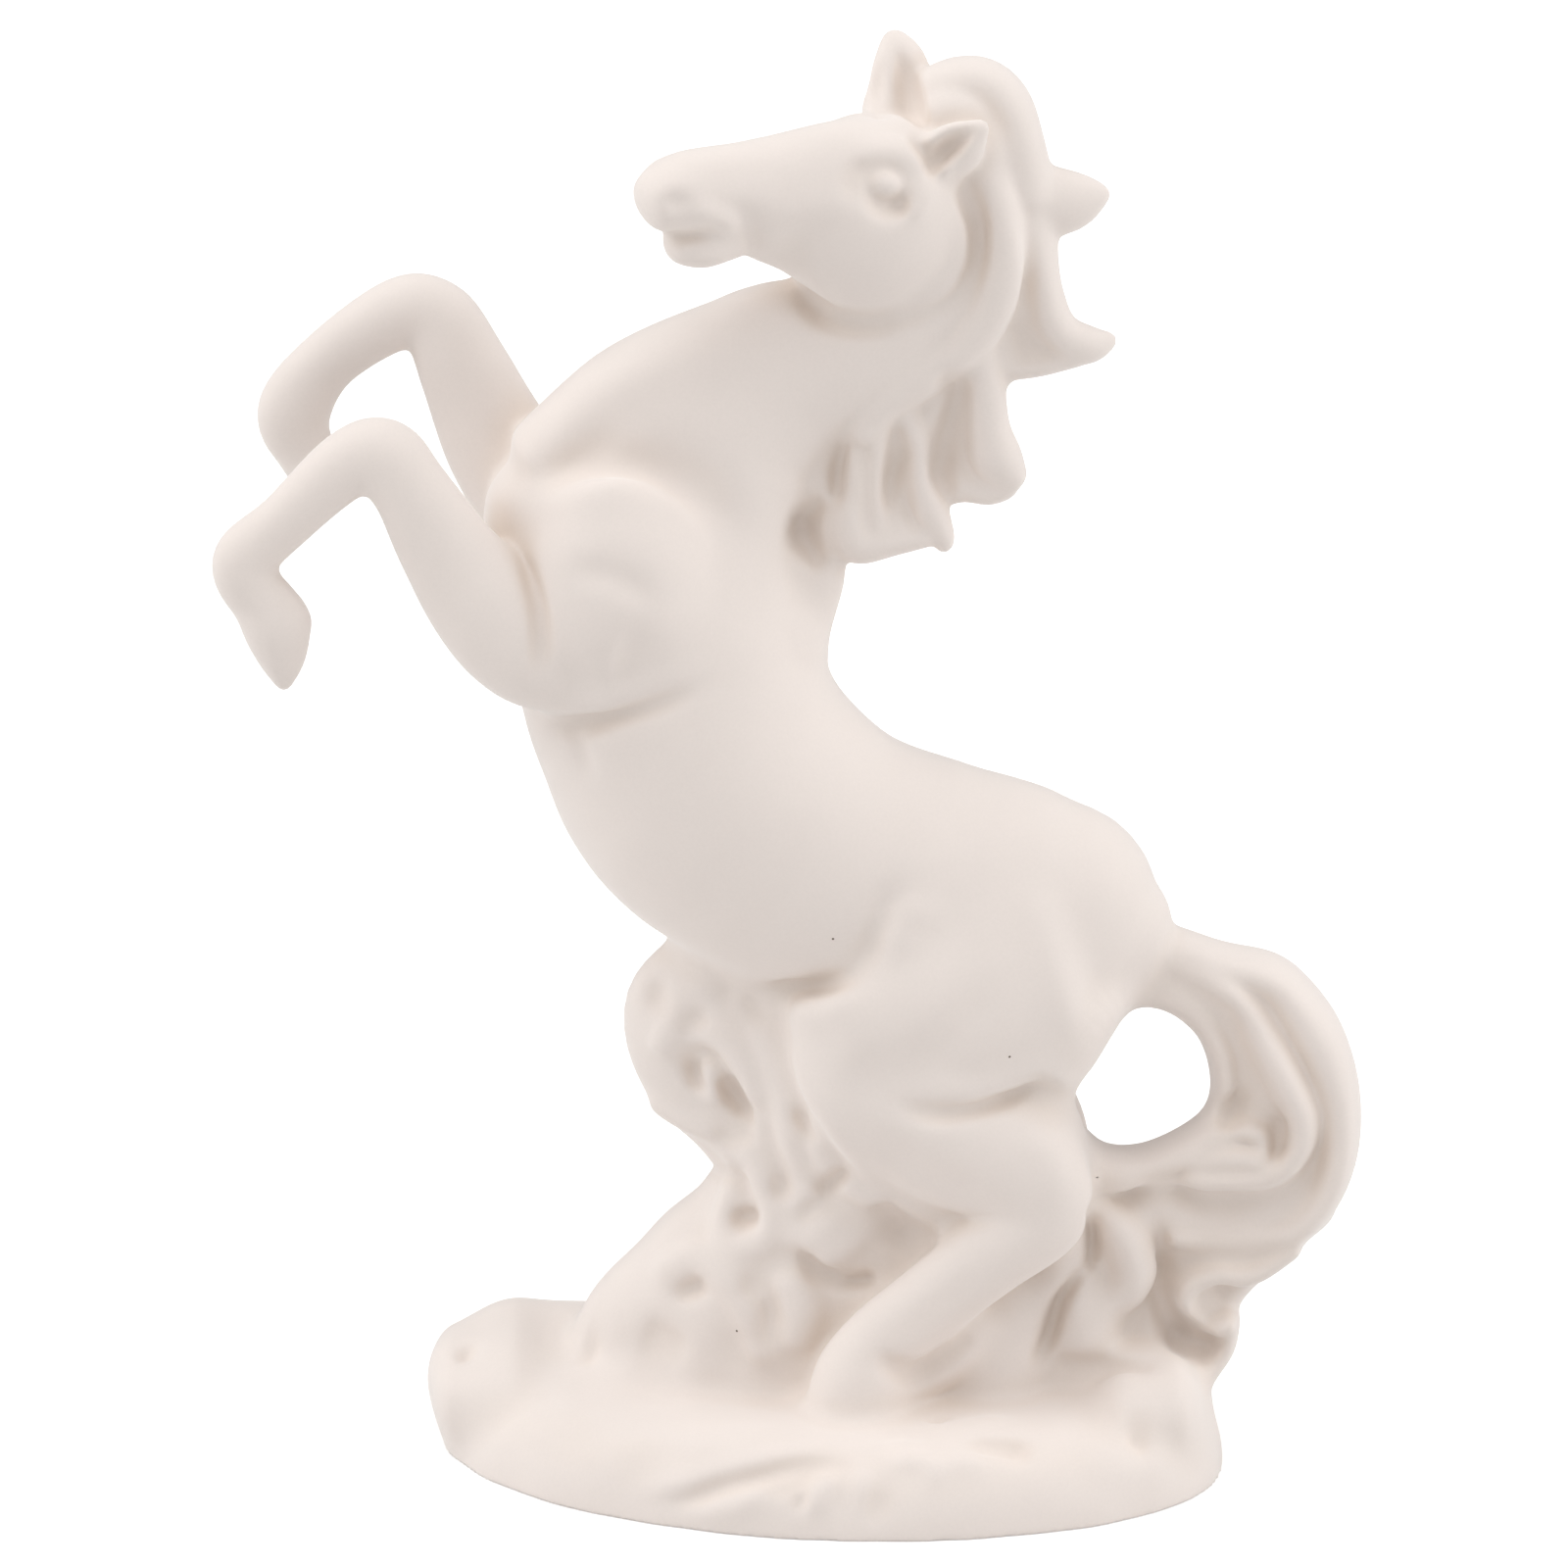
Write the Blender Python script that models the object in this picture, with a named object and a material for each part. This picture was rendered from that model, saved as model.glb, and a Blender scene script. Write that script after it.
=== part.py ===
"""Rearing horse on a rocky plinth, in white bisque ceramic.

The statue is an assembly of castings. The trunk, head, ears, mane, legs, tail, rock support and plinth
are cast apart, trimmed and luted together with slip. Each casting is one object here. They are luted in
the order in which main() draws them, and each one is trimmed to the shape of those before it, grown by
the thickness of the luted joint.

Axes: the horse faces -X, its left side faces -Y, +Z is up. The origin is the middle of the plinth's
flat underside. Sizes are in millimetres and become metres where a mesh is made. Heights in the tables
are measured from the plinth's deck, so the horse stands on it whatever the plinth's height.
"""

import math

import bmesh
import bpy
import numpy as np

MM = 0.001

# Luting and venting
LUTED_GAP = 0.3
SEAT_DEPTH = 5.0
VENT_RADIUS = 2.6
CORE_RADIUS = 6.5

# Plinth
PLINTH_LENGTH = 109.0
PLINTH_DEPTH = 71.0
PLINTH_HEIGHT = 11.5
PLINTH_TURN = -5.0
PLINTH_FULLNESS = 2.3
RIM_RADIUS = 4.5
FOOT_INSET = 2.5

# Girths: the largest half height of each mass, or the half height that its table calls 1
BARREL_RADIUS = 19.0
HAUNCH_RADIUS = 16.0
SHOULDER_RADIUS = 11.0
BREAST_RADIUS = 12.0
NECK_RADIUS = 16.0
SKULL_RADIUS = 12.0
EAR_RADIUS = 3.8
KNEE_RADIUS = 5.0
HOCK_RADIUS = 7.0
TAIL_RADIUS = 9.4
CREST_RADIUS = 6.2
LOCK_RADIUS = 5.2
ROCK_RADIUS = 20.0
BOULDER_RADIUS = 14.0

# The head looks to the horse's left, and leans to that side
HEAD_TURN = 25.0
HEAD_LEAN = 15.0

# Points that more than one mass shares: x, y and height
CHEST = (-26.0, 0.0, 114.5)
WITHERS = (-20.0, 0.0, 113.0)
POLL = (15.5, 3.0, 163.0)
DOCK = (41.0, 0.0, 62.5)
ELBOW_OUT = 8.0
ELBOW = (-28.0, 106.5)
STIFLE_OUT = 10.0
STIFLE = (5.0, 53.5)
BELLY = (-11.0, 2.0, 66.0)
SUPPORT_FOOT = (-9.0, 5.0)

# Mesh fineness
LIMB_SIDES = 12
BODY_SIDES = 20
DOME_RINGS = 2
DOME_REACH = 0.6
PLINTH_SIDES = 48

# The clay body
CLAY_COLOUR = (0.80, 0.74, 0.70, 1.0)
CLAY_ROUGHNESS = 0.85


def smooth_track(rows, count):
    """Curve through every row: between two rows each column is a cubic that leaves and arrives with the
    slope of the line from the row before to the row after."""
    rows = np.asarray(rows, float)
    padded = np.vstack([2 * rows[0] - rows[1], rows, 2 * rows[-1] - rows[-2]])
    place = np.linspace(0, len(rows) - 1, count)
    span = np.minimum(place.astype(int), len(rows) - 2)
    t = (place - span)[:, None]
    before, start, end, after = (padded[span + k] for k in range(4))
    return 0.5 * (
        2 * start
        + (end - before) * t
        + (2 * before - 5 * start + 4 * end - after) * t**2
        + (3 * start - before - 3 * end + after) * t**3
    )


def unit(rows):
    return rows / np.linalg.norm(rows, axis=-1, keepdims=True)


def mesh_object(name, points, faces):
    mesh = bpy.data.meshes.new(name)
    mesh.from_pydata([tuple(p) for p in np.asarray(points) * MM], [], faces)
    shape = bmesh.new()
    shape.from_mesh(mesh)
    bmesh.ops.recalc_face_normals(shape, faces=shape.faces)
    shape.to_mesh(mesh)
    shape.free()
    mesh.shade_smooth()
    thing = bpy.data.objects.new(name, mesh)
    bpy.context.scene.collection.objects.link(thing)
    return thing


def closed_skin(name, rings, first_pole, last_pole):
    """One skin over a row of rings with the same number of points, drawn to a point at each end."""
    sides = len(rings[0])
    points = np.vstack([*rings, first_pole, last_pole])
    last = len(rings) - 1
    turned = [(s + 1) % sides for s in range(sides)]
    faces = [
        (r * sides + s, r * sides + turned[s], (r + 1) * sides + turned[s], (r + 1) * sides + s)
        for r in range(last)
        for s in range(sides)
    ]
    faces += [(len(points) - 2, turned[s], s) for s in range(sides)]
    faces += [(len(points) - 1, last * sides + s, last * sides + turned[s]) for s in range(sides)]
    return mesh_object(name, points, faces)


class Mass:
    """One swelling form of the sculpture, as a skin of elliptical rings along a smooth track.

    A table row is x, y, height, half height in the plane of the bend and half width across it, both as
    shares of the girth. side is the direction that counts as across.
    """

    def __init__(self, name, girth, table, count, sides=LIMB_SIDES, side=(0.0, 1.0, 0.0)):
        self.name = name
        self.girth = girth
        self.table = np.asarray(table, float)
        self.count = count
        self.sides = sides
        self.side = np.asarray(side, float)

    def draw(self, suffix, grow=0.0):
        track = smooth_track(self.table, self.count)
        middle = track[:, :3] + (0.0, 0.0, PLINTH_HEIGHT)
        half = np.maximum(track[:, 3:] * self.girth, 0.4) + grow
        along = unit(np.gradient(middle, axis=0))
        across = unit(self.side - (along @ self.side)[:, None] * along)
        high = np.cross(along, across)
        angle = np.arange(self.sides) * 2 * math.pi / self.sides

        def ring(i, reach, shrink):
            spread = np.outer(np.cos(angle) * half[i, 0], high[i])
            spread += np.outer(np.sin(angle) * half[i, 1], across[i])
            return middle[i] + along[i] * reach + spread * shrink

        def dome(i, way):
            """Rings of a flattened dome beyond an end, and its pole."""
            reach = half[i].min() * DOME_REACH * way
            rise = np.linspace(0, math.pi / 2, DOME_RINGS + 2)[1:-1]
            return [ring(i, reach * math.sin(r), math.cos(r)) for r in rise], middle[i] + along[i] * reach

        start, start_pole = dome(0, -1)
        end, end_pole = dome(self.count - 1, 1)
        body = [ring(i, 0.0, 1.0) for i in range(self.count)]
        return closed_skin(self.name + suffix, start[::-1] + body + end, start_pole, end_pole)


def mirrored(table):
    """The same table on the horse's other side."""
    return [(x, -y, *rest) for x, y, *rest in table]


# The trunk
BARREL = Mass(
    "barrel",
    BARREL_RADIUS,
    [
        (*DOCK, 0.52, 0.44),
        (34.0, 0.0, 63.8, 0.92, 0.72),
        (24.0, 0.0, 65.0, 0.98, 0.80),
        (12.0, 0.0, 69.2, 0.95, 0.86),
        (-1.0, 0.0, 73.5, 1.00, 0.92),
        (-13.2, 0.0, 82.5, 1.08, 0.96),
        (-19.2, 0.0, 93.5, 1.06, 0.93),
        (-22.6, 0.0, 105.0, 1.02, 0.88),
        (*CHEST, 0.90, 0.78),
        (-30.5, 0.0, 122.0, 0.70, 0.66),
    ],
    count=26,
    sides=BODY_SIDES,
)
BREAST = Mass(
    "breast",
    BREAST_RADIUS,
    [(*CHEST, 1.05, 1.05), (-33.0, 0.0, 118.5, 1.02, 1.05), (-35.0, 0.0, 123.5, 0.84, 0.90)],
    count=8,
    sides=16,
)
NECK = Mass(
    "neck",
    NECK_RADIUS,
    [
        (*WITHERS, 1.00, 0.78),
        (-18.5, 0.5, 130.5, 1.06, 0.72),
        (-8.5, 1.5, 139.5, 0.87, 0.60),
        (3.5, 2.5, 144.5, 0.74, 0.51),
        (12.5, 3.0, 153.0, 0.62, 0.45),
        (*POLL, 0.34, 0.30),
    ],
    count=16,
    sides=16,
)
HAUNCH_TABLE = [
    (34.5, -6.0, 63.5, 0.55, 0.42),
    (27.0, -8.6, 60.5, 0.98, 0.62),
    (16.0, -9.8, 56.0, 0.96, 0.62),
    (STIFLE[0], -STIFLE_OUT, STIFLE[1], 0.66, 0.52),
]
HAUNCH_LEFT = Mass("haunch_left", HAUNCH_RADIUS, HAUNCH_TABLE, count=9, sides=16)
HAUNCH_RIGHT = Mass("haunch_right", HAUNCH_RADIUS, mirrored(HAUNCH_TABLE), count=9, sides=16)
SHOULDER_TABLE = [
    (-28.0, -8.0, 125.0, 0.62, 0.60),
    (-27.5, -9.6, 117.5, 1.02, 0.82),
    (ELBOW[0], -ELBOW_OUT - 2.0, ELBOW[1] + 3.0, 1.08, 0.84),
    (ELBOW[0], -ELBOW_OUT - 1.0, ELBOW[1] - 3.0, 0.80, 0.70),
]
SHOULDER_LEFT = Mass("shoulder_left", SHOULDER_RADIUS, SHOULDER_TABLE, count=8, sides=14)
SHOULDER_RIGHT = Mass("shoulder_right", SHOULDER_RADIUS, mirrored(SHOULDER_TABLE), count=8, sides=14)
TRUNK = [BARREL, BREAST, NECK, HAUNCH_LEFT, HAUNCH_RIGHT, SHOULDER_LEFT, SHOULDER_RIGHT]

# The head: its sideways direction follows the turn and the lean
turn, lean = math.radians(HEAD_TURN), math.radians(HEAD_LEAN)
HEAD_SIDE = (-math.sin(turn) * math.cos(lean), math.cos(turn) * math.cos(lean), math.sin(lean))
SKULL = Mass(
    "skull",
    SKULL_RADIUS,
    [
        (POLL[0] + 1.5, POLL[1] - 0.5, POLL[2] + 2.0, 0.74, 0.62),
        (12.0, 0.5, 162.0, 0.97, 0.68),
        (5.5, -3.0, 161.5, 0.98, 0.70),
        (-1.7, -6.3, 163.2, 0.74, 0.60),
        (-9.3, -10.0, 164.6, 0.59, 0.50),
        (-15.6, -13.0, 165.2, 0.50, 0.46),
        (-20.0, -15.0, 165.2, 0.46, 0.44),
        (-22.6, -16.2, 164.9, 0.34, 0.35),
    ],
    count=18,
    sides=14,
    side=HEAD_SIDE,
)
CHIN = Mass(
    "chin",
    SKULL_RADIUS,
    [(-6.0, -8.5, 160.5, 0.34, 0.36), (-12.5, -11.8, 160.4, 0.27, 0.33), (-17.5, -14.0, 161.0, 0.24, 0.30)],
    count=7,
    sides=12,
    side=HEAD_SIDE,
)
HEAD = [SKULL, CHIN]
EAR_LEFT = [
    Mass(
        "ear_left_leaf",
        EAR_RADIUS,
        [(13.5, -4.0, 165.0, 0.70, 0.55), (17.2, -4.8, 170.6, 1.00, 0.68), (20.8, -5.5, 176.2, 0.22, 0.20)],
        count=8,
        sides=10,
        side=HEAD_SIDE,
    )
]
EAR_RIGHT = [
    Mass(
        "ear_right_leaf",
        EAR_RADIUS,
        [(9.3, 6.3, 168.0, 0.80, 0.60), (9.5, 7.6, 176.0, 1.00, 0.68), (8.9, 8.0, 183.4, 0.25, 0.22)],
        count=9,
        sides=10,
        side=HEAD_SIDE,
    )
]

# The mane: a band along the crest with a forelock over the poll, and the locks blown back from it
MANE = [
    Mass(
        "crest",
        CREST_RADIUS,
        [
            (12.5, 4.0, 173.5, 0.66, 0.62),
            (20.0, 4.0, 174.0, 0.98, 0.90),
            (26.0, 3.5, 166.0, 1.00, 0.90),
            (27.0, 3.0, 154.0, 1.00, 0.90),
            (22.0, 2.0, 143.0, 1.00, 0.90),
            (12.5, 1.0, 134.5, 1.00, 0.90),
            (4.0, -0.5, 127.5, 0.95, 0.90),
            (2.5, -1.0, 118.5, 0.72, 0.74),
        ],
        count=20,
    ),
    Mass(
        "lock_upper",
        LOCK_RADIUS,
        [(23.5, 3.0, 165.5, 1.20, 0.86), (30.0, 3.0, 163.3, 0.86, 0.70), (36.4, 3.0, 162.9, 0.22, 0.22)],
        count=8,
        sides=10,
    ),
    Mass(
        "lock_middle",
        LOCK_RADIUS,
        [
            (25.0, 3.0, 156.0, 1.15, 0.86),
            (29.0, 3.0, 148.5, 1.00, 0.80),
            (31.5, 3.0, 144.5, 0.80, 0.66),
            (37.6, 3.0, 143.8, 0.22, 0.22),
        ],
        count=10,
        sides=10,
    ),
    Mass(
        "lock_lower",
        LOCK_RADIUS,
        [
            (20.0, 2.0, 142.5, 1.10, 0.86),
            (19.8, 2.0, 134.0, 0.94, 0.80),
            (20.5, 2.0, 127.5, 0.86, 0.72),
            (25.3, 2.0, 125.0, 0.30, 0.30),
        ],
        count=10,
        sides=10,
    ),
    Mass(
        "lock_withers",
        LOCK_RADIUS,
        [
            (10.0, 0.5, 134.5, 1.10, 0.90),
            (10.8, 0.0, 126.5, 1.02, 0.86),
            (13.0, 0.0, 119.5, 0.78, 0.70),
            (16.0, 0.0, 115.0, 0.24, 0.24),
        ],
        count=10,
        sides=10,
    ),
]

# The forelegs, both raised: from inside the shoulder to the elbow, knee, fetlock and toe
FORELEG_LEFT = [
    Mass(
        "left_foreleg",
        KNEE_RADIUS,
        [
            (ELBOW[0], -ELBOW_OUT, ELBOW[1], 2.05, 1.30),
            (-37.0, -11.0, 105.2, 1.74, 1.42),
            (-43.5, -12.0, 110.0, 1.56, 1.30),
            (-49.5, -12.6, 118.5, 1.26, 1.10),
            (-54.3, -13.0, 127.0, 1.02, 1.00),
            (-57.8, -13.0, 130.4, 1.00, 0.96),
            (-62.5, -13.0, 129.5, 0.86, 0.84),
            (-70.4, -13.0, 122.6, 0.76, 0.74),
            (-76.0, -13.0, 116.4, 0.78, 0.78),
            (-74.6, -13.0, 110.6, 0.62, 0.66),
            (-71.6, -13.0, 106.3, 0.80, 0.86),
            (-70.6, -13.0, 102.6, 0.42, 0.60),
        ],
        count=30,
    )
]
FORELEG_RIGHT = [
    Mass(
        "right_foreleg",
        KNEE_RADIUS,
        [
            (ELBOW[0], ELBOW_OUT, ELBOW[1] + 3.5, 1.80, 1.20),
            (-35.0, 9.5, 117.0, 1.52, 1.26),
            (-42.0, 10.5, 127.5, 1.28, 1.12),
            (-47.6, 11.3, 138.0, 1.08, 1.00),
            (-51.6, 12.0, 144.5, 1.00, 0.96),
            (-56.5, 12.0, 145.2, 0.92, 0.86),
            (-66.0, 12.0, 138.8, 0.80, 0.76),
            (-71.5, 12.0, 131.8, 0.80, 0.78),
            (-70.0, 12.0, 125.8, 0.64, 0.66),
            (-66.6, 12.0, 121.8, 0.78, 0.84),
            (-65.0, 12.0, 118.2, 0.42, 0.58),
        ],
        count=28,
    )
]

# The hind legs, folded under the weight: from inside the haunch to the hock, fetlock and hoof
HIND_LEG_LEFT = [
    Mass(
        "left_hind_leg",
        HOCK_RADIUS,
        [
            (STIFLE[0], -STIFLE_OUT, STIFLE[1] + 2.0, 1.36, 1.02),
            (8.0, -11.2, 46.0, 1.52, 1.06),
            (17.5, -12.2, 38.6, 1.42, 0.98),
            (26.0, -13.0, 33.6, 1.18, 0.84),
            (28.4, -13.0, 28.0, 0.98, 0.74),
            (22.0, -13.0, 21.6, 0.80, 0.66),
            (14.0, -13.0, 15.2, 0.74, 0.63),
            (7.5, -13.0, 9.2, 0.76, 0.66),
            (4.6, -13.0, 3.6, 0.90, 0.80),
            (4.0, -13.0, -SEAT_DEPTH, 0.98, 0.88),
        ],
        count=26,
    )
]
HIND_LEG_RIGHT = [
    Mass(
        "right_hind_leg",
        HOCK_RADIUS,
        [
            (STIFLE[0] + 4.0, STIFLE_OUT, STIFLE[1] - 1.0, 1.28, 1.00),
            (14.0, 11.0, 40.0, 1.36, 1.02),
            (24.0, 12.0, 31.0, 1.18, 0.90),
            (30.5, 12.6, 23.5, 0.94, 0.74),
            (29.0, 13.0, 15.5, 0.78, 0.68),
            (26.0, 13.0, 8.0, 0.74, 0.66),
            (23.6, 13.0, 3.0, 0.84, 0.78),
            (22.6, 13.0, -SEAT_DEPTH, 0.92, 0.86),
        ],
        count=23,
    )
]

# The tail: out of the rump, down in a wide arc, back to the hocks and down to the plinth
TAIL = [
    Mass(
        "tail_arc",
        TAIL_RADIUS,
        [
            (*DOCK, 0.56, 0.52),
            (49.0, 0.5, 58.6, 0.56, 0.54),
            (56.5, 1.0, 53.8, 0.76, 0.64),
            (61.2, 1.5, 45.8, 0.97, 0.75),
            (62.0, 1.5, 36.0, 1.00, 0.78),
            (57.5, 1.0, 28.0, 0.90, 0.78),
            (48.5, 0.0, 24.0, 0.78, 0.72),
            (40.5, -1.5, 18.5, 0.80, 0.68),
            (39.0, -2.5, 8.0, 0.84, 0.68),
            (39.5, -3.0, -SEAT_DEPTH, 0.86, 0.70),
        ],
        count=28,
        sides=14,
    ),
    Mass(
        "tail_end",
        TAIL_RADIUS,
        [
            (58.0, 1.0, 30.0, 0.76, 0.70),
            (51.5, 0.0, 21.0, 0.78, 0.72),
            (48.0, -2.0, 9.0, 0.70, 0.68),
            (45.5, -3.0, -SEAT_DEPTH, 0.66, 0.62),
        ],
        count=10,
    ),
]

# The rock support: a scroll of rock up to the belly, and a boulder between the hind legs
SCROLL = Mass(
    "scroll",
    ROCK_RADIUS,
    [
        (*SUPPORT_FOOT, -SEAT_DEPTH, 1.15, 0.72),
        (-9.0, 4.8, 6.0, 1.15, 0.66),
        (-8.5, 4.5, 14.5, 0.95, 0.58),
        (-7.5, 4.2, 22.5, 0.66, 0.48),
        (-6.0, 4.0, 29.5, 0.46, 0.40),
        (-9.0, 4.0, 36.5, 0.44, 0.38),
        (-14.0, 4.0, 44.5, 0.50, 0.38),
        (-17.2, 4.0, 51.5, 0.45, 0.36),
        (-16.5, 3.0, 58.5, 0.36, 0.33),
        (*BELLY, 0.30, 0.28),
    ],
    count=20,
    sides=16,
)
BOULDER = Mass(
    "boulder",
    BOULDER_RADIUS,
    [
        (-8.0, 3.5, 8.0, 1.00, 0.75),
        (3.0, 2.0, 15.0, 1.30, 0.72),
        (14.0, 1.0, 12.0, 1.20, 0.66),
        (24.0, 1.0, 6.0, 0.85, 0.56),
        (32.0, 1.0, 4.0, 0.60, 0.46),
    ],
    count=12,
    sides=14,
)
STEM = Mass(
    "stem",
    ROCK_RADIUS,
    [
        (BELLY[0] + 4.0, BELLY[1], BELLY[2] - 7.0, 0.30, 0.26),
        (-4.5, 2.0, 46.0, 0.34, 0.30),
        (-1.5, 2.5, 34.0, 0.40, 0.34),
        (-1.0, 3.0, 20.0, 0.46, 0.38),
    ],
    count=9,
    sides=12,
)
ROCK_SUPPORT = [SCROLL, BOULDER, STEM]


def vent_channel():
    """The way for steam out of the thick castings: up through the plinth and the middle of the scroll,
    and on as a wider core along the middle of the barrel."""
    under = (*SUPPORT_FOOT, -PLINTH_HEIGHT - SEAT_DEPTH, VENT_RADIUS, VENT_RADIUS)
    through_rock = [(x, y, z, VENT_RADIUS, VENT_RADIUS) for x, y, z, _, _ in SCROLL.table]
    along_barrel = [(x, y, z, CORE_RADIUS, CORE_RADIUS) for x, y, z, _, _ in BARREL.table[5:8]]
    return Mass("vent", 1.0, [under, *through_rock, *along_barrel], count=28, sides=8)


MOUNDS = [
    # x, y, height above the deck and reach of each rise of the ground
    (-39.0, 13.0, 5.0, 13.0),
    (-26.0, 10.0, 5.0, 15.0),
    (42.0, 2.0, 2.0, 12.0),
]


def ground(x, y, grow):
    """Height of the plinth's top: the deck and its soft mounds, each a bell of its height and reach."""
    z = np.full_like(x, PLINTH_HEIGHT + grow)
    for mound_x, mound_y, height, reach in MOUNDS:
        z += height * np.exp(-((x - mound_x) ** 2 + (y - mound_y) ** 2) / reach**2)
    return z


def plinth_skin(name, grow=0.0, floor=0.0):
    """The plinth: a superellipse in plan, drawn in at the foot and rounded at the rim, under the ground."""
    angle = np.arange(PLINTH_SIDES) * 2 * math.pi / PLINTH_SIDES
    c, s = np.cos(angle), np.sin(angle)
    power = 2.0 / PLINTH_FULLNESS
    turned = math.radians(PLINTH_TURN)

    def plan(inset, shrink=1.0):
        x = (PLINTH_LENGTH / 2 + grow - inset) * np.sign(c) * np.abs(c) ** power * shrink
        y = (PLINTH_DEPTH / 2 + grow - inset) * np.sign(s) * np.abs(s) ** power * shrink
        return x * math.cos(turned) - y * math.sin(turned), x * math.sin(turned) + y * math.cos(turned)

    edge = ground(*plan(RIM_RADIUS), grow)
    rings = []
    for share in (0.0, 0.35, 0.7, 1.0):
        x, y = plan(FOOT_INSET * (1 - math.sin(share * math.pi / 2)))
        rings.append(np.stack([x, y, floor + (edge - RIM_RADIUS - floor) * share], -1))
    for bend in (30.0, 60.0, 90.0):
        rise = math.radians(bend)
        x, y = plan(RIM_RADIUS * (1 - math.cos(rise)))
        rings.append(np.stack([x, y, edge - RIM_RADIUS * (1 - math.sin(rise))], -1))
    for shrink in (0.86, 0.7, 0.54, 0.38, 0.2):
        x, y = plan(RIM_RADIUS, shrink)
        rings.append(np.stack([x, y, ground(x, y, grow)], -1))
    top = ground(np.zeros(1), np.zeros(1), grow)
    return closed_skin(name, rings, [0.0, 0.0, floor], [0.0, 0.0, *top])


def bisque_clay():
    material = bpy.data.materials.new("bisque_clay")
    material.use_nodes = True
    shader = material.node_tree.nodes["Principled BSDF"]
    shader.inputs["Base Color"].default_value = CLAY_COLOUR
    shader.inputs["Roughness"].default_value = CLAY_ROUGHNESS
    shader.inputs["Metallic"].default_value = 0.0
    return material


def boolean(piece, other, operation, solver="EXACT"):
    other.hide_render = True
    other.display_type = "WIRE"
    modifier = piece.modifiers.new(f"{operation.lower()}_{other.name}", "BOOLEAN")
    modifier.operation = operation
    modifier.solver = solver
    modifier.object = other


def casting(name, masses, luted_to, solver="EXACT"):
    """One casting: its masses joined, and trimmed to the masses of the castings that it is luted to."""
    piece = masses[0].draw("_body")
    piece.name = name
    for mass in masses[1:]:
        boolean(piece, mass.draw(f"_of_{name}"), "UNION", solver)
    for mass in luted_to:
        boolean(piece, mass.draw(f"_seat_of_{name}", grow=LUTED_GAP), "DIFFERENCE", solver)
    return piece


def main():
    for old in list(bpy.data.objects):
        bpy.data.objects.remove(old)

    trunk = casting("trunk", TRUNK, [])
    head = casting("head", HEAD, [NECK])
    ear_left = casting("ear_left", EAR_LEFT, [NECK, SKULL])
    ear_right = casting("ear_right", EAR_RIGHT, [NECK, SKULL])
    mane = casting("mane", MANE, [BARREL, NECK, SKULL, *EAR_LEFT, *EAR_RIGHT])
    foreleg_left = casting("foreleg_left", FORELEG_LEFT, [BARREL, BREAST, NECK, SHOULDER_LEFT])
    foreleg_right = casting("foreleg_right", FORELEG_RIGHT, [BARREL, BREAST, NECK, SHOULDER_RIGHT])
    hind_leg_left = casting("hind_leg_left", HIND_LEG_LEFT, [BARREL, HAUNCH_LEFT])
    hind_leg_right = casting("hind_leg_right", HIND_LEG_RIGHT, [BARREL, HAUNCH_RIGHT])
    both_legs = [*HIND_LEG_LEFT, *HIND_LEG_RIGHT]
    tail = casting("tail", TAIL, [BARREL, HAUNCH_LEFT, HAUNCH_RIGHT, *both_legs])
    # EXACT loses the whole rock where its three masses meet the belly
    rock_support = casting(
        "rock_support", ROCK_SUPPORT, [BARREL, HAUNCH_LEFT, HAUNCH_RIGHT, *both_legs, *TAIL], "MANIFOLD"
    )
    plinth = plinth_skin("plinth")

    for piece in (hind_leg_left, hind_leg_right, tail, rock_support):
        boolean(piece, plinth_skin(f"ground_under_{piece.name}", LUTED_GAP, -PLINTH_LENGTH / 2), "DIFFERENCE")
    for piece in (trunk, rock_support, plinth):
        boolean(piece, vent_channel().draw(f"_in_{piece.name}"), "DIFFERENCE")

    clay = bisque_clay()
    statue = bpy.data.objects.new("statue", None)
    bpy.context.scene.collection.objects.link(statue)
    legs = [foreleg_left, foreleg_right, hind_leg_left, hind_leg_right]
    for piece in (trunk, head, ear_left, ear_right, mane, *legs, tail, rock_support, plinth):
        piece.data.materials.append(clay)
        piece.parent = statue


main()
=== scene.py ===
# %% [markdown]
# # A rearing horse in white bisque ceramic
#
# The real statue is a set of slip castings that are luted together while the clay is damp, smoothed over
# at the joints and fired once. Its surface is one soft skin that runs from the trunk into the legs, the
# mane and the rock. Polygon modelling or sculpting by hand could make it. Here the clay is a block of
# voxels that holds the distance to the surface. Distances blend as damp clay does, so fillets, creases
# and holes are sums and minimums of whole arrays, and each casting still gets a closed mesh of its own.
#
# The frame comes first. It is the plain CAD model of the same castings, and it gives the box that the
# clay has to fill, and the name of each casting.

import math

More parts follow.
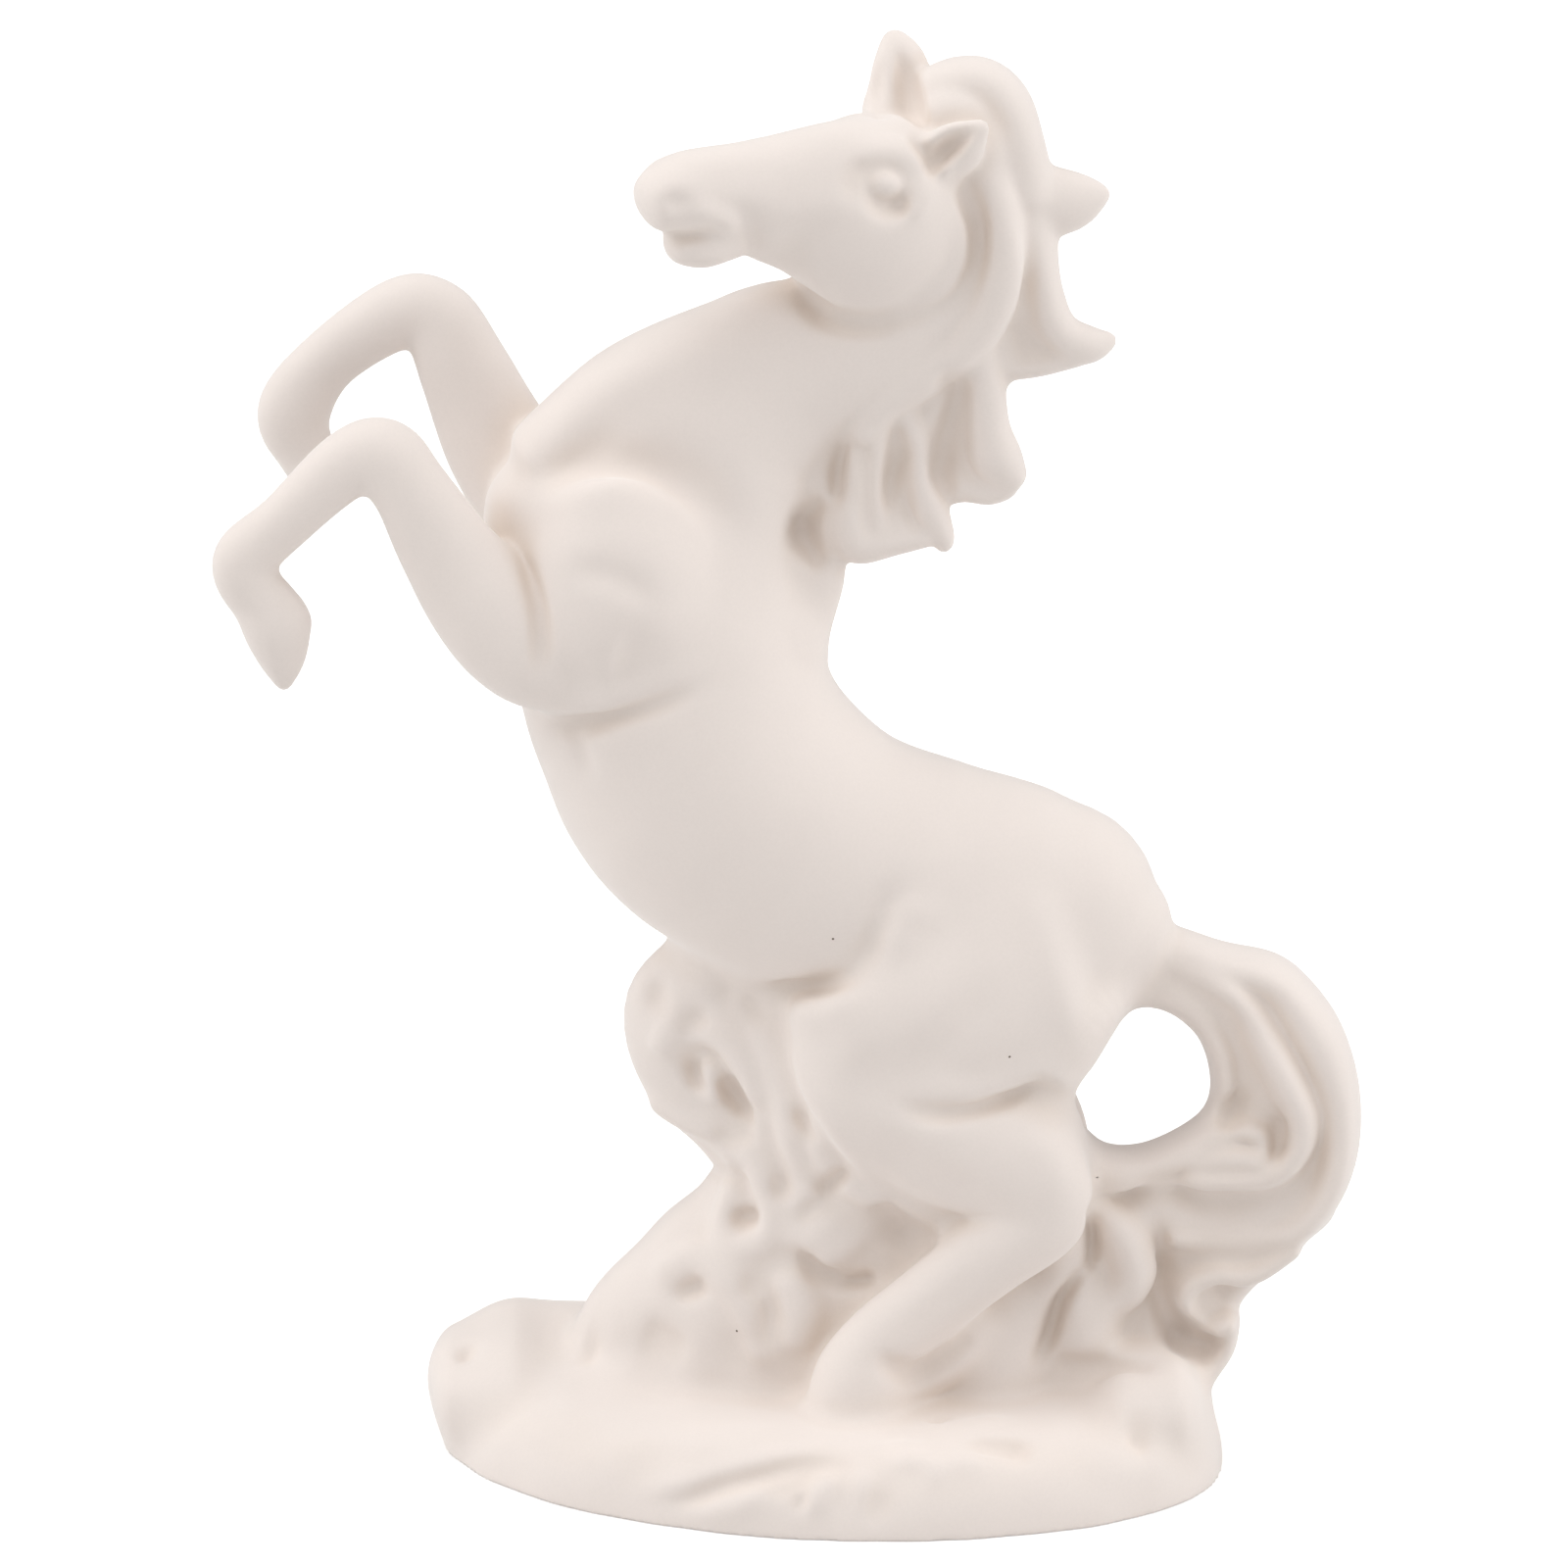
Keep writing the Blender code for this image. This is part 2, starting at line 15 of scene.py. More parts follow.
import bpy
import numpy as np
from mathutils import Euler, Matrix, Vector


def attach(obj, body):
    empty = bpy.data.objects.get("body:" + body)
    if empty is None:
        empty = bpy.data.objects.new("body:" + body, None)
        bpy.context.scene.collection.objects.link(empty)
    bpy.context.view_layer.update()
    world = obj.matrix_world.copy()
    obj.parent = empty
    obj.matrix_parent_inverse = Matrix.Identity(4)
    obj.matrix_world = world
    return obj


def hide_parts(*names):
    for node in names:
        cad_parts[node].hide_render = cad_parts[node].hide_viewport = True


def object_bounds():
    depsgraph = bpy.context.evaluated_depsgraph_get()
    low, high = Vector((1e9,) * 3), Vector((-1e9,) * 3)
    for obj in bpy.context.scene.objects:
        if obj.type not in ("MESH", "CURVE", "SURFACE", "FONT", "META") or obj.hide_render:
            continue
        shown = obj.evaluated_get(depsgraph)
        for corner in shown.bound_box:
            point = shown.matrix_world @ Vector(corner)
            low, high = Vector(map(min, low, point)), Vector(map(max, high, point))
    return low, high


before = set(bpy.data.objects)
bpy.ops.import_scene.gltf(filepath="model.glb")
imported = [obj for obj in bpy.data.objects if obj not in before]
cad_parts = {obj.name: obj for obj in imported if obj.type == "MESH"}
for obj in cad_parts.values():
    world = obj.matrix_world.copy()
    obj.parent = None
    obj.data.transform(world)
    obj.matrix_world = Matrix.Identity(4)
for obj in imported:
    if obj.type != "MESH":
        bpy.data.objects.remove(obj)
cad_box = [list(corner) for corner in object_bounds()]
MM = 0.001
print("castings in the frame:", sorted(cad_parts))

# %% [markdown]
# ## The photograph's camera
#
# The photograph was taken from about a metre with a long lens, a little above the statue. The camera comes
# first, because the details are drawn where it sees them: a point of the 1600 pixel picture is a ray, and
# the ray meets the clay somewhere. That places an eye or a lock of hair on the form that carries it.

# %% The camera
PHOTO_SIZE = 1600
CAMERA_DISTANCE = 1000.0
CAMERA_ELEVATION = math.radians(15.0)
CAMERA_TARGET = np.array([-5.5, 0.0, 95.0])
VIEW_WIDTH = 209.15
SENSOR_WIDTH = 36.0

view_ahead = np.array([0.0, math.cos(CAMERA_ELEVATION), -math.sin(CAMERA_ELEVATION)])
view_up = np.array([0.0, math.sin(CAMERA_ELEVATION), math.cos(CAMERA_ELEVATION)])
view_right = np.array([1.0, 0.0, 0.0])
eye_point = CAMERA_TARGET - view_ahead * CAMERA_DISTANCE

lens = bpy.data.cameras.new("photo_camera")
lens.sensor_width = SENSOR_WIDTH
lens.lens = SENSOR_WIDTH * CAMERA_DISTANCE / VIEW_WIDTH
camera = bpy.data.objects.new("photo_camera", lens)
camera.location = tuple(eye_point * MM)
camera.rotation_euler = Euler((math.pi / 2 - CAMERA_ELEVATION, 0.0, 0.0))
bpy.context.scene.collection.objects.link(camera)
bpy.context.scene.camera = camera
print("lens", round(lens.lens, 1), "mm")

# %% [markdown]
# ## The block of clay
#
# Three rulers, one for each axis, and one box of numbers: the distance from each point to the surface in
# millimetres, negative inside the clay. `FAR` stands for anywhere that no form has reached yet. A second
# box holds the distance to the nearest casting, and a third which casting that is. Metaballs could do the
# same, but they blend everything with everything, and here each joint gets a fillet of its own.

# %% The block
PITCH = 0.525
MARGIN = 3.0
FAR = 30.0

origin = np.array(cad_box[0]) / MM - MARGIN
block_shape = np.ceil((np.array(cad_box[1]) / MM + MARGIN - origin) / PITCH).astype(int) + 1
rulers = [(origin[axis] + PITCH * np.arange(block_shape[axis])).astype(np.float32) for axis in range(3)]
clay = np.full(block_shape, FAR, np.float32)
nearest = np.full(block_shape, FAR, np.float32)
owner = np.zeros(block_shape, np.uint8)
print("voxels:", block_shape.tolist())

# %% [markdown]
# ## Windows into the block
#
# A leg only touches the clay round it. A window is a set of slices that holds a box, so that each form
# works on a small part of the block, and a statue with a hundred forms is done in half a minute.

# %% Windows
def window(lowest, highest):
    """Slices of the block that hold a box."""
    first = np.clip(np.floor((np.asarray(lowest) - origin) / PITCH).astype(int), 0, block_shape - 1)
    last = np.clip(np.ceil((np.asarray(highest) - origin) / PITCH).astype(int) + 1, first + 1, block_shape)
    return tuple(slice(a, b) for a, b in zip(first, last))


def places(cut):
    """The x, y and z of the points in a window, each shaped so that the three add up to a box."""
    return (
        rulers[0][cut[0]][:, None, None],
        rulers[1][cut[1]][None, :, None],
        rulers[2][cut[2]][None, None, :],
    )


def inside(cut, whole):
    """The slices of a window, counted from the corner of a larger window."""
    return tuple(slice(c.start - w.start, c.stop - w.start) for c, w in zip(cut, whole))


def both(cuts):
    """The smallest window that holds several."""
    return tuple(slice(min(c[a].start for c in cuts), max(c[a].stop for c in cuts)) for a in range(3))


print("voxels in a box of 20 mm:", clay[window((-10, -10, 90), (10, 10, 110))].size)

# %% [markdown]
# ## A swelling form
#
# Legs, neck, locks of hair: nearly every mass of a horse swells and tapers along a bent line, with an oval
# section. A table gives the line's points and the oval's two half sizes at each, and a smooth cubic
# through the rows makes the track. A curve with a bevel could do that too, but it can't be blended.

# %% A smooth track
TRACK_STEP = 1.0


def smooth_track(rows, step=TRACK_STEP):
    """A cubic through every row, that passes each row with the slope of the line between its neighbours."""
    rows = np.asarray(rows, float)
    spans = np.linalg.norm(np.diff(rows[:, :3], axis=0), axis=1)
    before_all = np.vstack([2 * rows[0] - rows[1], rows, 2 * rows[-1] - rows[-2]])
    count = max(int(spans.sum() / step), 4)
    travelled = np.linspace(0, spans.sum(), count)
    place = np.interp(travelled, np.r_[0, np.cumsum(spans)], np.arange(len(rows)))
    span = np.minimum(place.astype(int), len(rows) - 2)
    t = (place - span)[:, None]
    before, start, end, after = (before_all[span + k] for k in range(4))
    return 0.5 * (
        2 * start
        + (end - before) * t
        + (2 * before - 5 * start + 4 * end - after) * t**2
        + (3 * start - before - 3 * end + after) * t**3
    )


def unit(rows):
    """Vectors made one long: each is divided by its length."""
    return rows / np.maximum(np.linalg.norm(rows, axis=-1, keepdims=True), 1e-9)


print("points on a track of 30 mm:", len(smooth_track([(0, 0, 0), (0, 0, 10), (0, 0, 30)])))

# %% [markdown]
# Each short run of the track is an oval capsule. Beside one capsule, the distance to the oval is estimated
# from how far out the point is in units of the oval, `q`, as q(q - 1)/g, where g is how fast q grows there.
# The form is the nearest of its capsules.

# %% Swelling forms
INNER_CAP = 0.7
REACH = 6.0
LEAST_HALF = 0.35
CORE = 0.3


def form(rows, girth=1.0, side=(0.0, 1.0, 0.0), lift=0.0, cap=0.6, reach=REACH):
    """Window and distances of one swelling form. Rows are x, y, z, half height and half width; the half
    sizes are shares of the girth, side is the direction that counts as width, and the round caps reach past
    the ends by a share of the smaller half size."""
    track = smooth_track(rows)
    middle = track[:, :3] + (0.0, 0.0, lift)
    half = np.maximum(track[:, 3:] * girth, LEAST_HALF)
    along = unit(np.gradient(middle, axis=0))
    wide = unit(np.asarray(side) - (along @ np.asarray(side))[:, None] * along)
    widest = half.max(1)[:, None]
    whole = window((middle - widest).min(0) - reach, (middle + widest).max(0) + reach)
    field = np.full([s.stop - s.start for s in whole], FAR, np.float32)
    for i in range(len(track) - 1):
        start, run = middle[i], middle[i + 1] - middle[i]
        length = np.linalg.norm(run)
        direction = run / length
        across = unit(wide[i] + wide[i + 1] - direction * (direction @ (wide[i] + wide[i + 1])))
        high = np.cross(direction, across)
        ends = middle[i : i + 2]
        cut = window((ends - widest[i : i + 2]).min(0) - reach, (ends + widest[i : i + 2]).max(0) + reach)
        x, y, z = places(cut)
        x, y, z = x - np.float32(start[0]), y - np.float32(start[1]), z - np.float32(start[2])
        d, a, h = (v.astype(np.float32) for v in (direction, across, high))
        travel = x * d[0] + y * d[1] + z * d[2]
        share = np.clip(travel / np.float32(length), 0, 1)
        tall = np.float32(half[i, 0]) + share * np.float32(half[i + 1, 0] - half[i, 0])
        broad = np.float32(half[i, 1]) + share * np.float32(half[i + 1, 1] - half[i, 1])
        thin = np.minimum(tall, broad)
        first_cap = cap if i == 0 else INNER_CAP
        last_cap = cap if i == len(track) - 2 else INNER_CAP
        round_cap = thin * np.where(travel < 0, np.float32(first_cap), np.float32(last_cap))
        over = (travel - share * np.float32(length)) / round_cap
        up = (x * h[0] + y * h[1] + z * h[2]) / tall
        out = (x * a[0] + y * a[1] + z * a[2]) / broad
        q = np.sqrt(up * up + out * out + over * over)
        growth = np.sqrt((up / tall) ** 2 + (out / broad) ** 2 + (over / round_cap) ** 2)
        distance = q * (q - 1) / np.maximum(growth, 1e-4)
        # In the middle of an oval q is nearly nothing, so the depth there is the oval's own half size
        distance = np.where(q < CORE, (q - 1) * thin, distance)
        part = field[inside(cut, whole)]
        np.minimum(part, distance, out=part)
    return whole, field

# %% [markdown]
# ## Blending, luting and carving
#
# Two masses of damp clay meet in a fillet: the lower of two distances, minus a hump that is highest where
# the two are equal. The same with the signs turned carves one form out of another. Luting a casting adds
# it to the whole with a small fillet, as a wet finger leaves, and notes which casting each voxel is in.
# Boolean modifiers would leave a hard edge at each joint, which the real statue doesn't have.

# %% Joining
castings = []


def blend(a, b, fillet):
    """The lower of two distances with a fillet where they meet: min(a, b) - h*h*fillet/4, where h falls
    from 1 where the two are equal to 0 where they differ by the fillet."""
    h = np.maximum(fillet - np.abs(a - b), 0) / fillet
    return np.minimum(a, b) - h * h * np.float32(fillet / 4)


def joined(forms, fillet):
    """Several forms as one: window and distances."""
    whole = both([cut for cut, _ in forms])
    field = np.full([s.stop - s.start for s in whole], FAR, np.float32)
    for cut, distance in forms:
        part = inside(cut, whole)
        field[part] = blend(field[part], distance, fillet)
    return whole, field


def lute(name, forms, fillet, joint):
    """Adds a casting to the clay: its forms blend with one fillet, and it meets the rest with another."""
    cut, field = joined(forms, fillet)
    castings.append(name)
    clay[cut] = blend(clay[cut], field, joint)
    closer = field < nearest[cut]
    owner[cut][closer] = len(castings)
    nearest[cut][closer] = field[closer]
    print("luted", name)


def carve(forms, fillet):
    """Cuts forms out of the clay, with a rounded lip: the clay changes sign, blends with the form, and
    changes back."""
    for cut, field in forms:
        clay[cut] = -blend(-clay[cut], field, fillet)


def mirrored(table):
    """The same table on the horse's other side."""
    return [(x, -y, *rest) for x, y, *rest in table]

# %% [markdown]
# ## Reading the clay
#
# To put a detail on the skin, the script has to find the skin. `sample` reads the distance at any point,
# and `settle` slides points down the gradient onto the surface.

# %% Reading the clay
CORNERS = np.array([(i, j, k) for i in (0, 1) for j in (0, 1) for k in (0, 1)])


def sample(points):
    """Distances at any points, averaged from the eight voxels round each. Outside the block, the way
    to the block is added."""
    exact = (points - origin) / PITCH
    place = np.clip(exact, 0, block_shape - 1.001)
    whole = place.astype(int)
    part = place - whole
    total = PITCH * np.linalg.norm(exact - place, axis=1)
    for corner in CORNERS:
        share = np.prod(np.where(corner, part, 1 - part), axis=1)
        i, j, k = (whole + corner).T
        total += share * clay[i, j, k]
    return total


def gradient(points, step=0.75):
    """Direction in which the distance grows fastest, from the difference across two steps on each axis."""
    shift = np.eye(3) * step * PITCH
    return np.stack([(sample(points + s) - sample(points - s)) for s in shift], axis=1) / (2 * step * PITCH)


def settle(points, rounds=2, limit=0.5):
    """Moves points onto the surface: back along the gradient by their distance."""
    for _ in range(rounds):
        slope = gradient(points)
        size = np.maximum((slope**2).sum(1, keepdims=True), 0.04)
        move = -sample(points)[:, None] * slope / size
        length = np.linalg.norm(move, axis=1, keepdims=True)
        points = points + move * np.minimum(1, limit * PITCH / np.maximum(length, 1e-9))
    return points

# %% [markdown]
# ## Touching the clay
#
# `touch` follows the photograph's rays from the camera to the first clay they meet, as a finger would that
# points at a place in the picture, and `press` does so along one direction, for the side that the
# photograph doesn't show. `drawn` turns a table in picture points into one in millimetres.

# %% Touching the clay
FOCAL_PIXELS = PHOTO_SIZE * CAMERA_DISTANCE / VIEW_WIDTH
BEFORE_STATUE, PAST_STATUE = 110.0, 110.0


def rays(pixels):
    """Directions from the camera through points of the photograph: straight ahead, plus right and up by
    the pixel's distance from the middle over the focal length."""
    px, py = np.asarray(pixels, float)[:, :2].T - PHOTO_SIZE / 2
    return unit(view_ahead + (px[:, None] * view_right - py[:, None] * view_up) / FOCAL_PIXELS)


def drawn(rows):
    """Table rows for a form, from rows of pixel column, pixel row, y, half height and half width: the point
    is where the pixel's ray passes that y."""
    rows = np.asarray(rows, float)
    aim = rays(rows)
    return np.hstack([eye_point + aim * ((rows[:, 2] - eye_point[1]) / aim[:, 1])[:, None], rows[:, 3:]])


def first_clay(starts, ways, length):
    """The first point on the surface along each way, or where the way passes nearest if it misses."""
    steps = np.arange(0, length, PITCH / 2)
    path = starts[:, None, :] + ways[:, None, :] * steps[None, :, None]
    depth = sample(path.reshape(-1, 3)).reshape(len(starts), -1)
    hit = np.where((depth < 0).any(1), (depth < 0).argmax(1), depth.argmin(1))
    return settle(path[np.arange(len(starts)), hit])


def touch(pixels):
    """The points of the surface that the camera sees at these pixels."""
    aim = rays(pixels)
    near = CAMERA_DISTANCE - BEFORE_STATUE
    return first_clay(eye_point + aim * near, aim, BEFORE_STATUE + PAST_STATUE)


def press(points, way, from_outside=16.0):
    """Points brought onto the surface along one direction, from outside."""
    way = np.broadcast_to(unit(np.asarray(way, float)), points.shape)
    return first_clay(points - way * from_outside, way, 2 * from_outside)

# %% [markdown]
# ## Strokes of the modelling tool
#
# A stroke is a line on the skin that raises a ridge or presses a groove. What it adds to the distance
# falls off as a bell, height * exp(-(d / width)^2), with d the distance to the line, and its height fades
# at both ends. Many shallow strokes make the eye, the mouth, the muscles and the strands of hair. A bump
# map could fake them, but the light on a matte white statue shows every false edge.

# %% Strokes
STROKE_STEP = 1.0
SUNK = 0.6


def stroke(points, height, width, fade=0.35):
    """Raises the clay along a line on its surface, or presses it in if the height is negative. A groove is
    drawn half its depth under the skin, so that it is narrow and deep."""
    if len(points) > 1:
        points = settle(smooth_track(np.hstack([points, points[:, :2]]), STROKE_STEP)[:, :3], 3, 2.0)
    points = points + unit(gradient(points)) * min(height, 0.0) * SUNK
    reach = 2.2 * width
    whole = window(points.min(0) - reach, points.max(0) + reach)
    bump = np.zeros([s.stop - s.start for s in whole], np.float32)
    last = max(len(points) - 1, 1)
    for i in range(last):
        start = points[i]
        run = points[min(i + 1, len(points) - 1)] - start
        cut = window(np.minimum(start, start + run) - reach, np.maximum(start, start + run) + reach)
        x, y, z = (ruler - np.float32(s) for ruler, s in zip(places(cut), start))
        share = np.clip((x * run[0] + y * run[1] + z * run[2]) / max(run @ run, 1e-6), 0, 1)
        apart = (x - share * run[0]) ** 2 + (y - share * run[1]) ** 2 + (z - share * run[2]) ** 2
        way = (i + share) / last
        rise = np.clip(np.minimum(way, 1 - way) / fade, 0, 1) if len(points) > 1 else 1.0
        part = bump[inside(cut, whole)]
        bell = rise * rise * (3 - 2 * rise) * np.exp(-apart / width**2)
        np.maximum(part, bell.astype(np.float32), out=part)
    clay[whole] -= np.float32(height) * bump

# %% [markdown]
# ## The barrel and the breast
#
# The trunk is one casting: barrel, breast, neck, haunches and shoulders. The barrel's track runs from the
# dock up the rearing back to the chest. Heights in these tables are measured from the deck of the plinth,
# and the two half sizes are shares of one girth, so that a fatter horse is one number.

# %% Barrel and breast
DECK = 11.5
CHEST = (-26.0, 0.0, 114.5)
DOCK = (41.0, 0.0, 62.5)

BARREL = [
    (42.0, 0.0, 61.5, 0.40, 0.36), (37.0, 0.0, 62.7, 0.64, 0.54), (32.4, 0.0, 64.0, 0.86, 0.70),
    (24.0, 0.0, 65.0, 0.98, 0.80), (12.0, 0.0, 69.2, 0.95, 0.86), (-1.0, 0.0, 73.5, 1.00, 0.92),
    (-13.2, 0.0, 82.5, 1.08, 0.96), (-19.2, 0.0, 93.5, 1.06, 0.93), (-22.6, 0.0, 105.0, 1.02, 0.88),
    (*CHEST, 0.90, 0.78), (-30.5, 0.0, 122.0, 0.70, 0.66),
]
BREAST = [(*CHEST, 1.05, 1.05), (-33.0, 0.0, 118.5, 1.02, 1.05), (-35.0, 0.0, 123.5, 0.84, 0.90)]
BARREL_GIRTH, BREAST_GIRTH = 19.0, 12.0
trunk = [form(BARREL, BARREL_GIRTH, lift=DECK), form(BREAST, BREAST_GIRTH, lift=DECK)]
print("back, from dock to chest:", round(math.dist(DOCK, CHEST)), "mm")

# %% [markdown]
# ## The neck
#
# The neck leaves the barrel at the withers and bends over to the poll. Its front edge and the slope of the
# withers show against the background, so these two rolls are drawn on the picture, at a given depth.

# %% Neck
NECK = [
    (-20.0, 0.0, 113.0, 0.95, 0.78), (-17.5, 0.5, 129.0, 1.00, 0.72), (-8.0, 1.2, 138.0, 0.80, 0.60),
    (3.5, 1.0, 143.6, 0.67, 0.54), (13.0, 1.0, 153.0, 0.64, 0.48), (17.0, 1.5, 163.0, 0.44, 0.42),
]
NECK_FRONT = [
    (552, 464, 0.5, 4.8, 8.0), (577, 443, 0.5, 5.2, 8.0), (634, 396, 0.5, 5.2, 7.4),
    (700, 374, 0.5, 4.6, 6.8), (760, 358, 0.5, 4.2, 6.0),
]
WITHERS = [
    (890, 430, 1.0, 5.0, 3.6), (858, 490, 0.8, 5.4, 3.8), (826, 555, 0.5, 5.4, 4.4),
    (822, 595, 0.5, 5.0, 5.0), (803, 650, 0.0, 5.4, 7.0),
]
NECK_GIRTH = 16.0
trunk += [form(NECK, NECK_GIRTH, lift=DECK), form(drawn(NECK_FRONT)), form(drawn(WITHERS))]
print("forms in the trunk so far:", len(trunk))

# %% [markdown]
# ## Haunches and shoulders
#
# A haunch and a shoulder are flat oval masses on each side of the trunk. The far ones are the near ones
# mirrored. The buttock closes the outline between the thigh and the loop of the tail. Then all the forms
# of the trunk are pressed into the block as one casting.

# %% Haunches and shoulders
HAUNCH = [
    (28.4, -7.6, 59.8, 0.92, 0.62), (16.0, -9.8, 56.0, 0.96, 0.64), (5.0, -10.0, 53.5, 0.66, 0.54),
]
BUTTOCK = [(1124, 1004, -2.0, 4.7, 5.5), (1098, 1040, -4.5, 4.8, 10.0), (1072, 1078, -5.0, 4.3, 11.5)]
SHOULDER = [
    (-28.0, -9.0, 125.0, 0.62, 0.60), (-27.5, -10.6, 117.5, 1.02, 0.82), (-28.0, -11.0, 109.5, 1.08, 0.84),
    (-28.0, -9.6, 103.5, 0.80, 0.70),
]
HAUNCH_GIRTH, SHOULDER_GIRTH = 16.0, 11.0
trunk += [form(side, HAUNCH_GIRTH, lift=DECK) for side in (HAUNCH, mirrored(HAUNCH))]
trunk.append(form(drawn(BUTTOCK)))
trunk += [form(side, SHOULDER_GIRTH, lift=DECK) for side in (SHOULDER, mirrored(SHOULDER))]
lute("trunk", trunk, fillet=3.0, joint=1.0)

# %% [markdown]
# ## The head
#
# The head looks to the horse's left and leans that way, so its sideways direction is turned and tilted.
# The skull tapers from the brow to the lips, the cheek is a thick disc across it, and the chin hangs
# under the lips. A disc and a taper with a wide fillet between them give a horse's dished cheek at once.

# %% The head
HEAD_TURN, HEAD_LEAN = math.radians(25.0), math.radians(15.0)
HEAD_SIDE = np.array(
    [
        -math.sin(HEAD_TURN) * math.cos(HEAD_LEAN),
        math.cos(HEAD_TURN) * math.cos(HEAD_LEAN),
        math.sin(HEAD_LEAN),
    ]
)
SKULL = [
    (958, 190, 2.0, 8.8, 7.0), (912, 202, -1.5, 11.4, 7.8), (860, 203, -4.8, 11.0, 7.6),
    (808, 203, -7.6, 9.5, 7.0), (765, 199, -10.3, 7.6, 6.2), (718, 194, -13.4, 5.8, 5.5),
    (692, 198, -15.0, 5.1, 5.3), (669, 207, -16.3, 3.7, 4.6),
]
CHIN = [(742, 243, -11.6, 2.4, 3.8), (714, 250, -13.0, 2.7, 4.0), (696, 249, -14.0, 2.6, 3.6)]
JOWL_MIDDLE, JOWL_RADIUS, JOWL_HALF_WIDTH, JOWL_FILLET = (888, 232, -2.0), 10.6, 4.4, 5.0
jowl_middle = drawn([(*JOWL_MIDDLE, 1.0, 1.0)])[0, :3]
jowl = [
    (*(jowl_middle + HEAD_SIDE * JOWL_HALF_WIDTH * way), JOWL_RADIUS, JOWL_RADIUS) for way in (-1, 0, 1)
]
lute(
    "head",
    [
        joined([form(drawn(SKULL), side=HEAD_SIDE), form(jowl, side=(0.0, 0.0, 1.0), cap=0.34)], JOWL_FILLET),
        form(drawn(CHIN), side=HEAD_SIDE, cap=0.9),
    ],
    fillet=2.0,
    joint=1.2,
)

# %% [markdown]
# ## The ears
#
# Each ear is a small leaf that is stuck on behind the brow, and is a casting of its own. It swells from a
# narrow root and ends in a point. Its cup is dug later, with the face.

# %% The ears
EAR_LEFT = [
    (944, 178, -5.0, 2.6, 2.6), (963, 160, -6.2, 4.0, 2.8), (983, 146, -6.8, 3.7, 2.4),
    (1005, 127, -7.0, 1.1, 1.2),
]
EAR_RIGHT = [
    (915, 130, 3.0, 4.2, 3.2), (918, 98, 4.8, 4.7, 3.2), (919, 68, 6.0, 4.0, 2.8),
    (915, 50, 6.6, 2.9, 2.2), (911, 36, 7.2, 1.5, 1.4),
]
lute("ear_left", [form(drawn(EAR_LEFT), side=HEAD_SIDE)], fillet=1.0, joint=1.2)
lute("ear_right", [form(drawn(EAR_RIGHT), side=HEAD_SIDE)], fillet=1.0, joint=1.2)

# %% [markdown]
# ## The crest of the mane
#
# The mane is one casting: a crest that follows the neck, and thick wavy locks that the wind blows back
# from it. Each lock is a tapering form of its own, drawn on the picture, and they meet in small fillets,
# so the creases between them stay. Hair particles would look like fur and not like carved clay.

# %% Crest locks
CREST_LOCKS = {
    "poll": [
        (940, 128, 0.5, 3.6, 4.0), (975, 118, 0.0, 4.4, 4.6), (1004, 146, -0.5, 4.2, 4.4),
        (1014, 185, -1.0, 3.6, 4.2),
    ],
    "core": [
        (945, 118, 3.0, 5.0, 4.4), (985, 108, 3.0, 6.2, 5.0), (1012, 150, 2.6, 6.4, 5.2),
        (1034, 210, 2.2, 5.4, 4.8), (1040, 275, 1.8, 4.6, 4.2), (1020, 335, 1.6, 4.8, 4.0),
        (980, 390, 1.4, 5.4, 3.8), (935, 440, 1.0, 5.6, 3.8), (898, 490, 0.6, 5.4, 3.8),
        (888, 530, 0.4, 4.4, 3.6),
    ],
    "forelock": [
        (935, 100, 2.0, 2.4, 3.0), (965, 88, 2.0, 3.2, 4.0), (1000, 84, 2.0, 3.4, 4.8),
        (1022, 108, 2.0, 4.0, 5.4), (1034, 150, 1.6, 4.2, 5.4), (1044, 200, 1.6, 4.2, 5.2),
    ],
    "crest": [
        (1000, 175, -2.6, 2.4, 2.6), (1014, 200, -2.8, 3.0, 3.2), (1024, 240, -3.0, 3.2, 3.6),
        (1022, 280, -3.0, 3.2, 3.8), (1006, 322, -2.8, 3.2, 3.8), (975, 357, -2.6, 3.2, 3.8),
        (935, 385, -2.4, 3.2, 3.8), (900, 410, -2.2, 3.0, 4.0), (880, 440, -2.0, 2.6, 3.8),
    ],
}
print("locks in the crest:", list(CREST_LOCKS))

# %% [markdown]
# ## The blown tips
#
# Two locks blow out to the right of the crest and end in points, one straight and one curled up. A thin
# web of clay closes the space under the curl, as in the mould, where a gap would tear the casting.

# %% Blown tips
BLOWN_TIPS = {
    "swept_tip": [
        (1048, 205, 2.5, 5.2, 4.8), (1088, 205, 3.0, 4.3, 3.8), (1110, 201, 3.0, 3.0, 2.6),
        (1129, 197, 3.0, 1.1, 1.1),
    ],
    "curled_tip": [
        (1046, 225, 2.0, 3.6, 4.8), (1056, 262, 1.4, 2.9, 4.2), (1064, 300, 0.8, 2.8, 3.8),
        (1080, 338, 0.2, 2.8, 3.4), (1110, 352, 0.8, 2.6, 2.8), (1136, 346, 1.5, 1.1, 1.0),
    ],
    "under_curl": [
        (1000, 352, 1.5, 3.0, 3.8), (1030, 372, 1.5, 1.8, 3.4), (1062, 372, 1.2, 1.5, 3.0),
        (1095, 362, 1.0, 1.7, 2.6),
    ],
}
print("blown tips:", list(BLOWN_TIPS))

# %% [markdown]
# ## The hanging locks
#
# Below the curl one heavy lock hangs down and turns up at its end. The webs are the clay behind it.

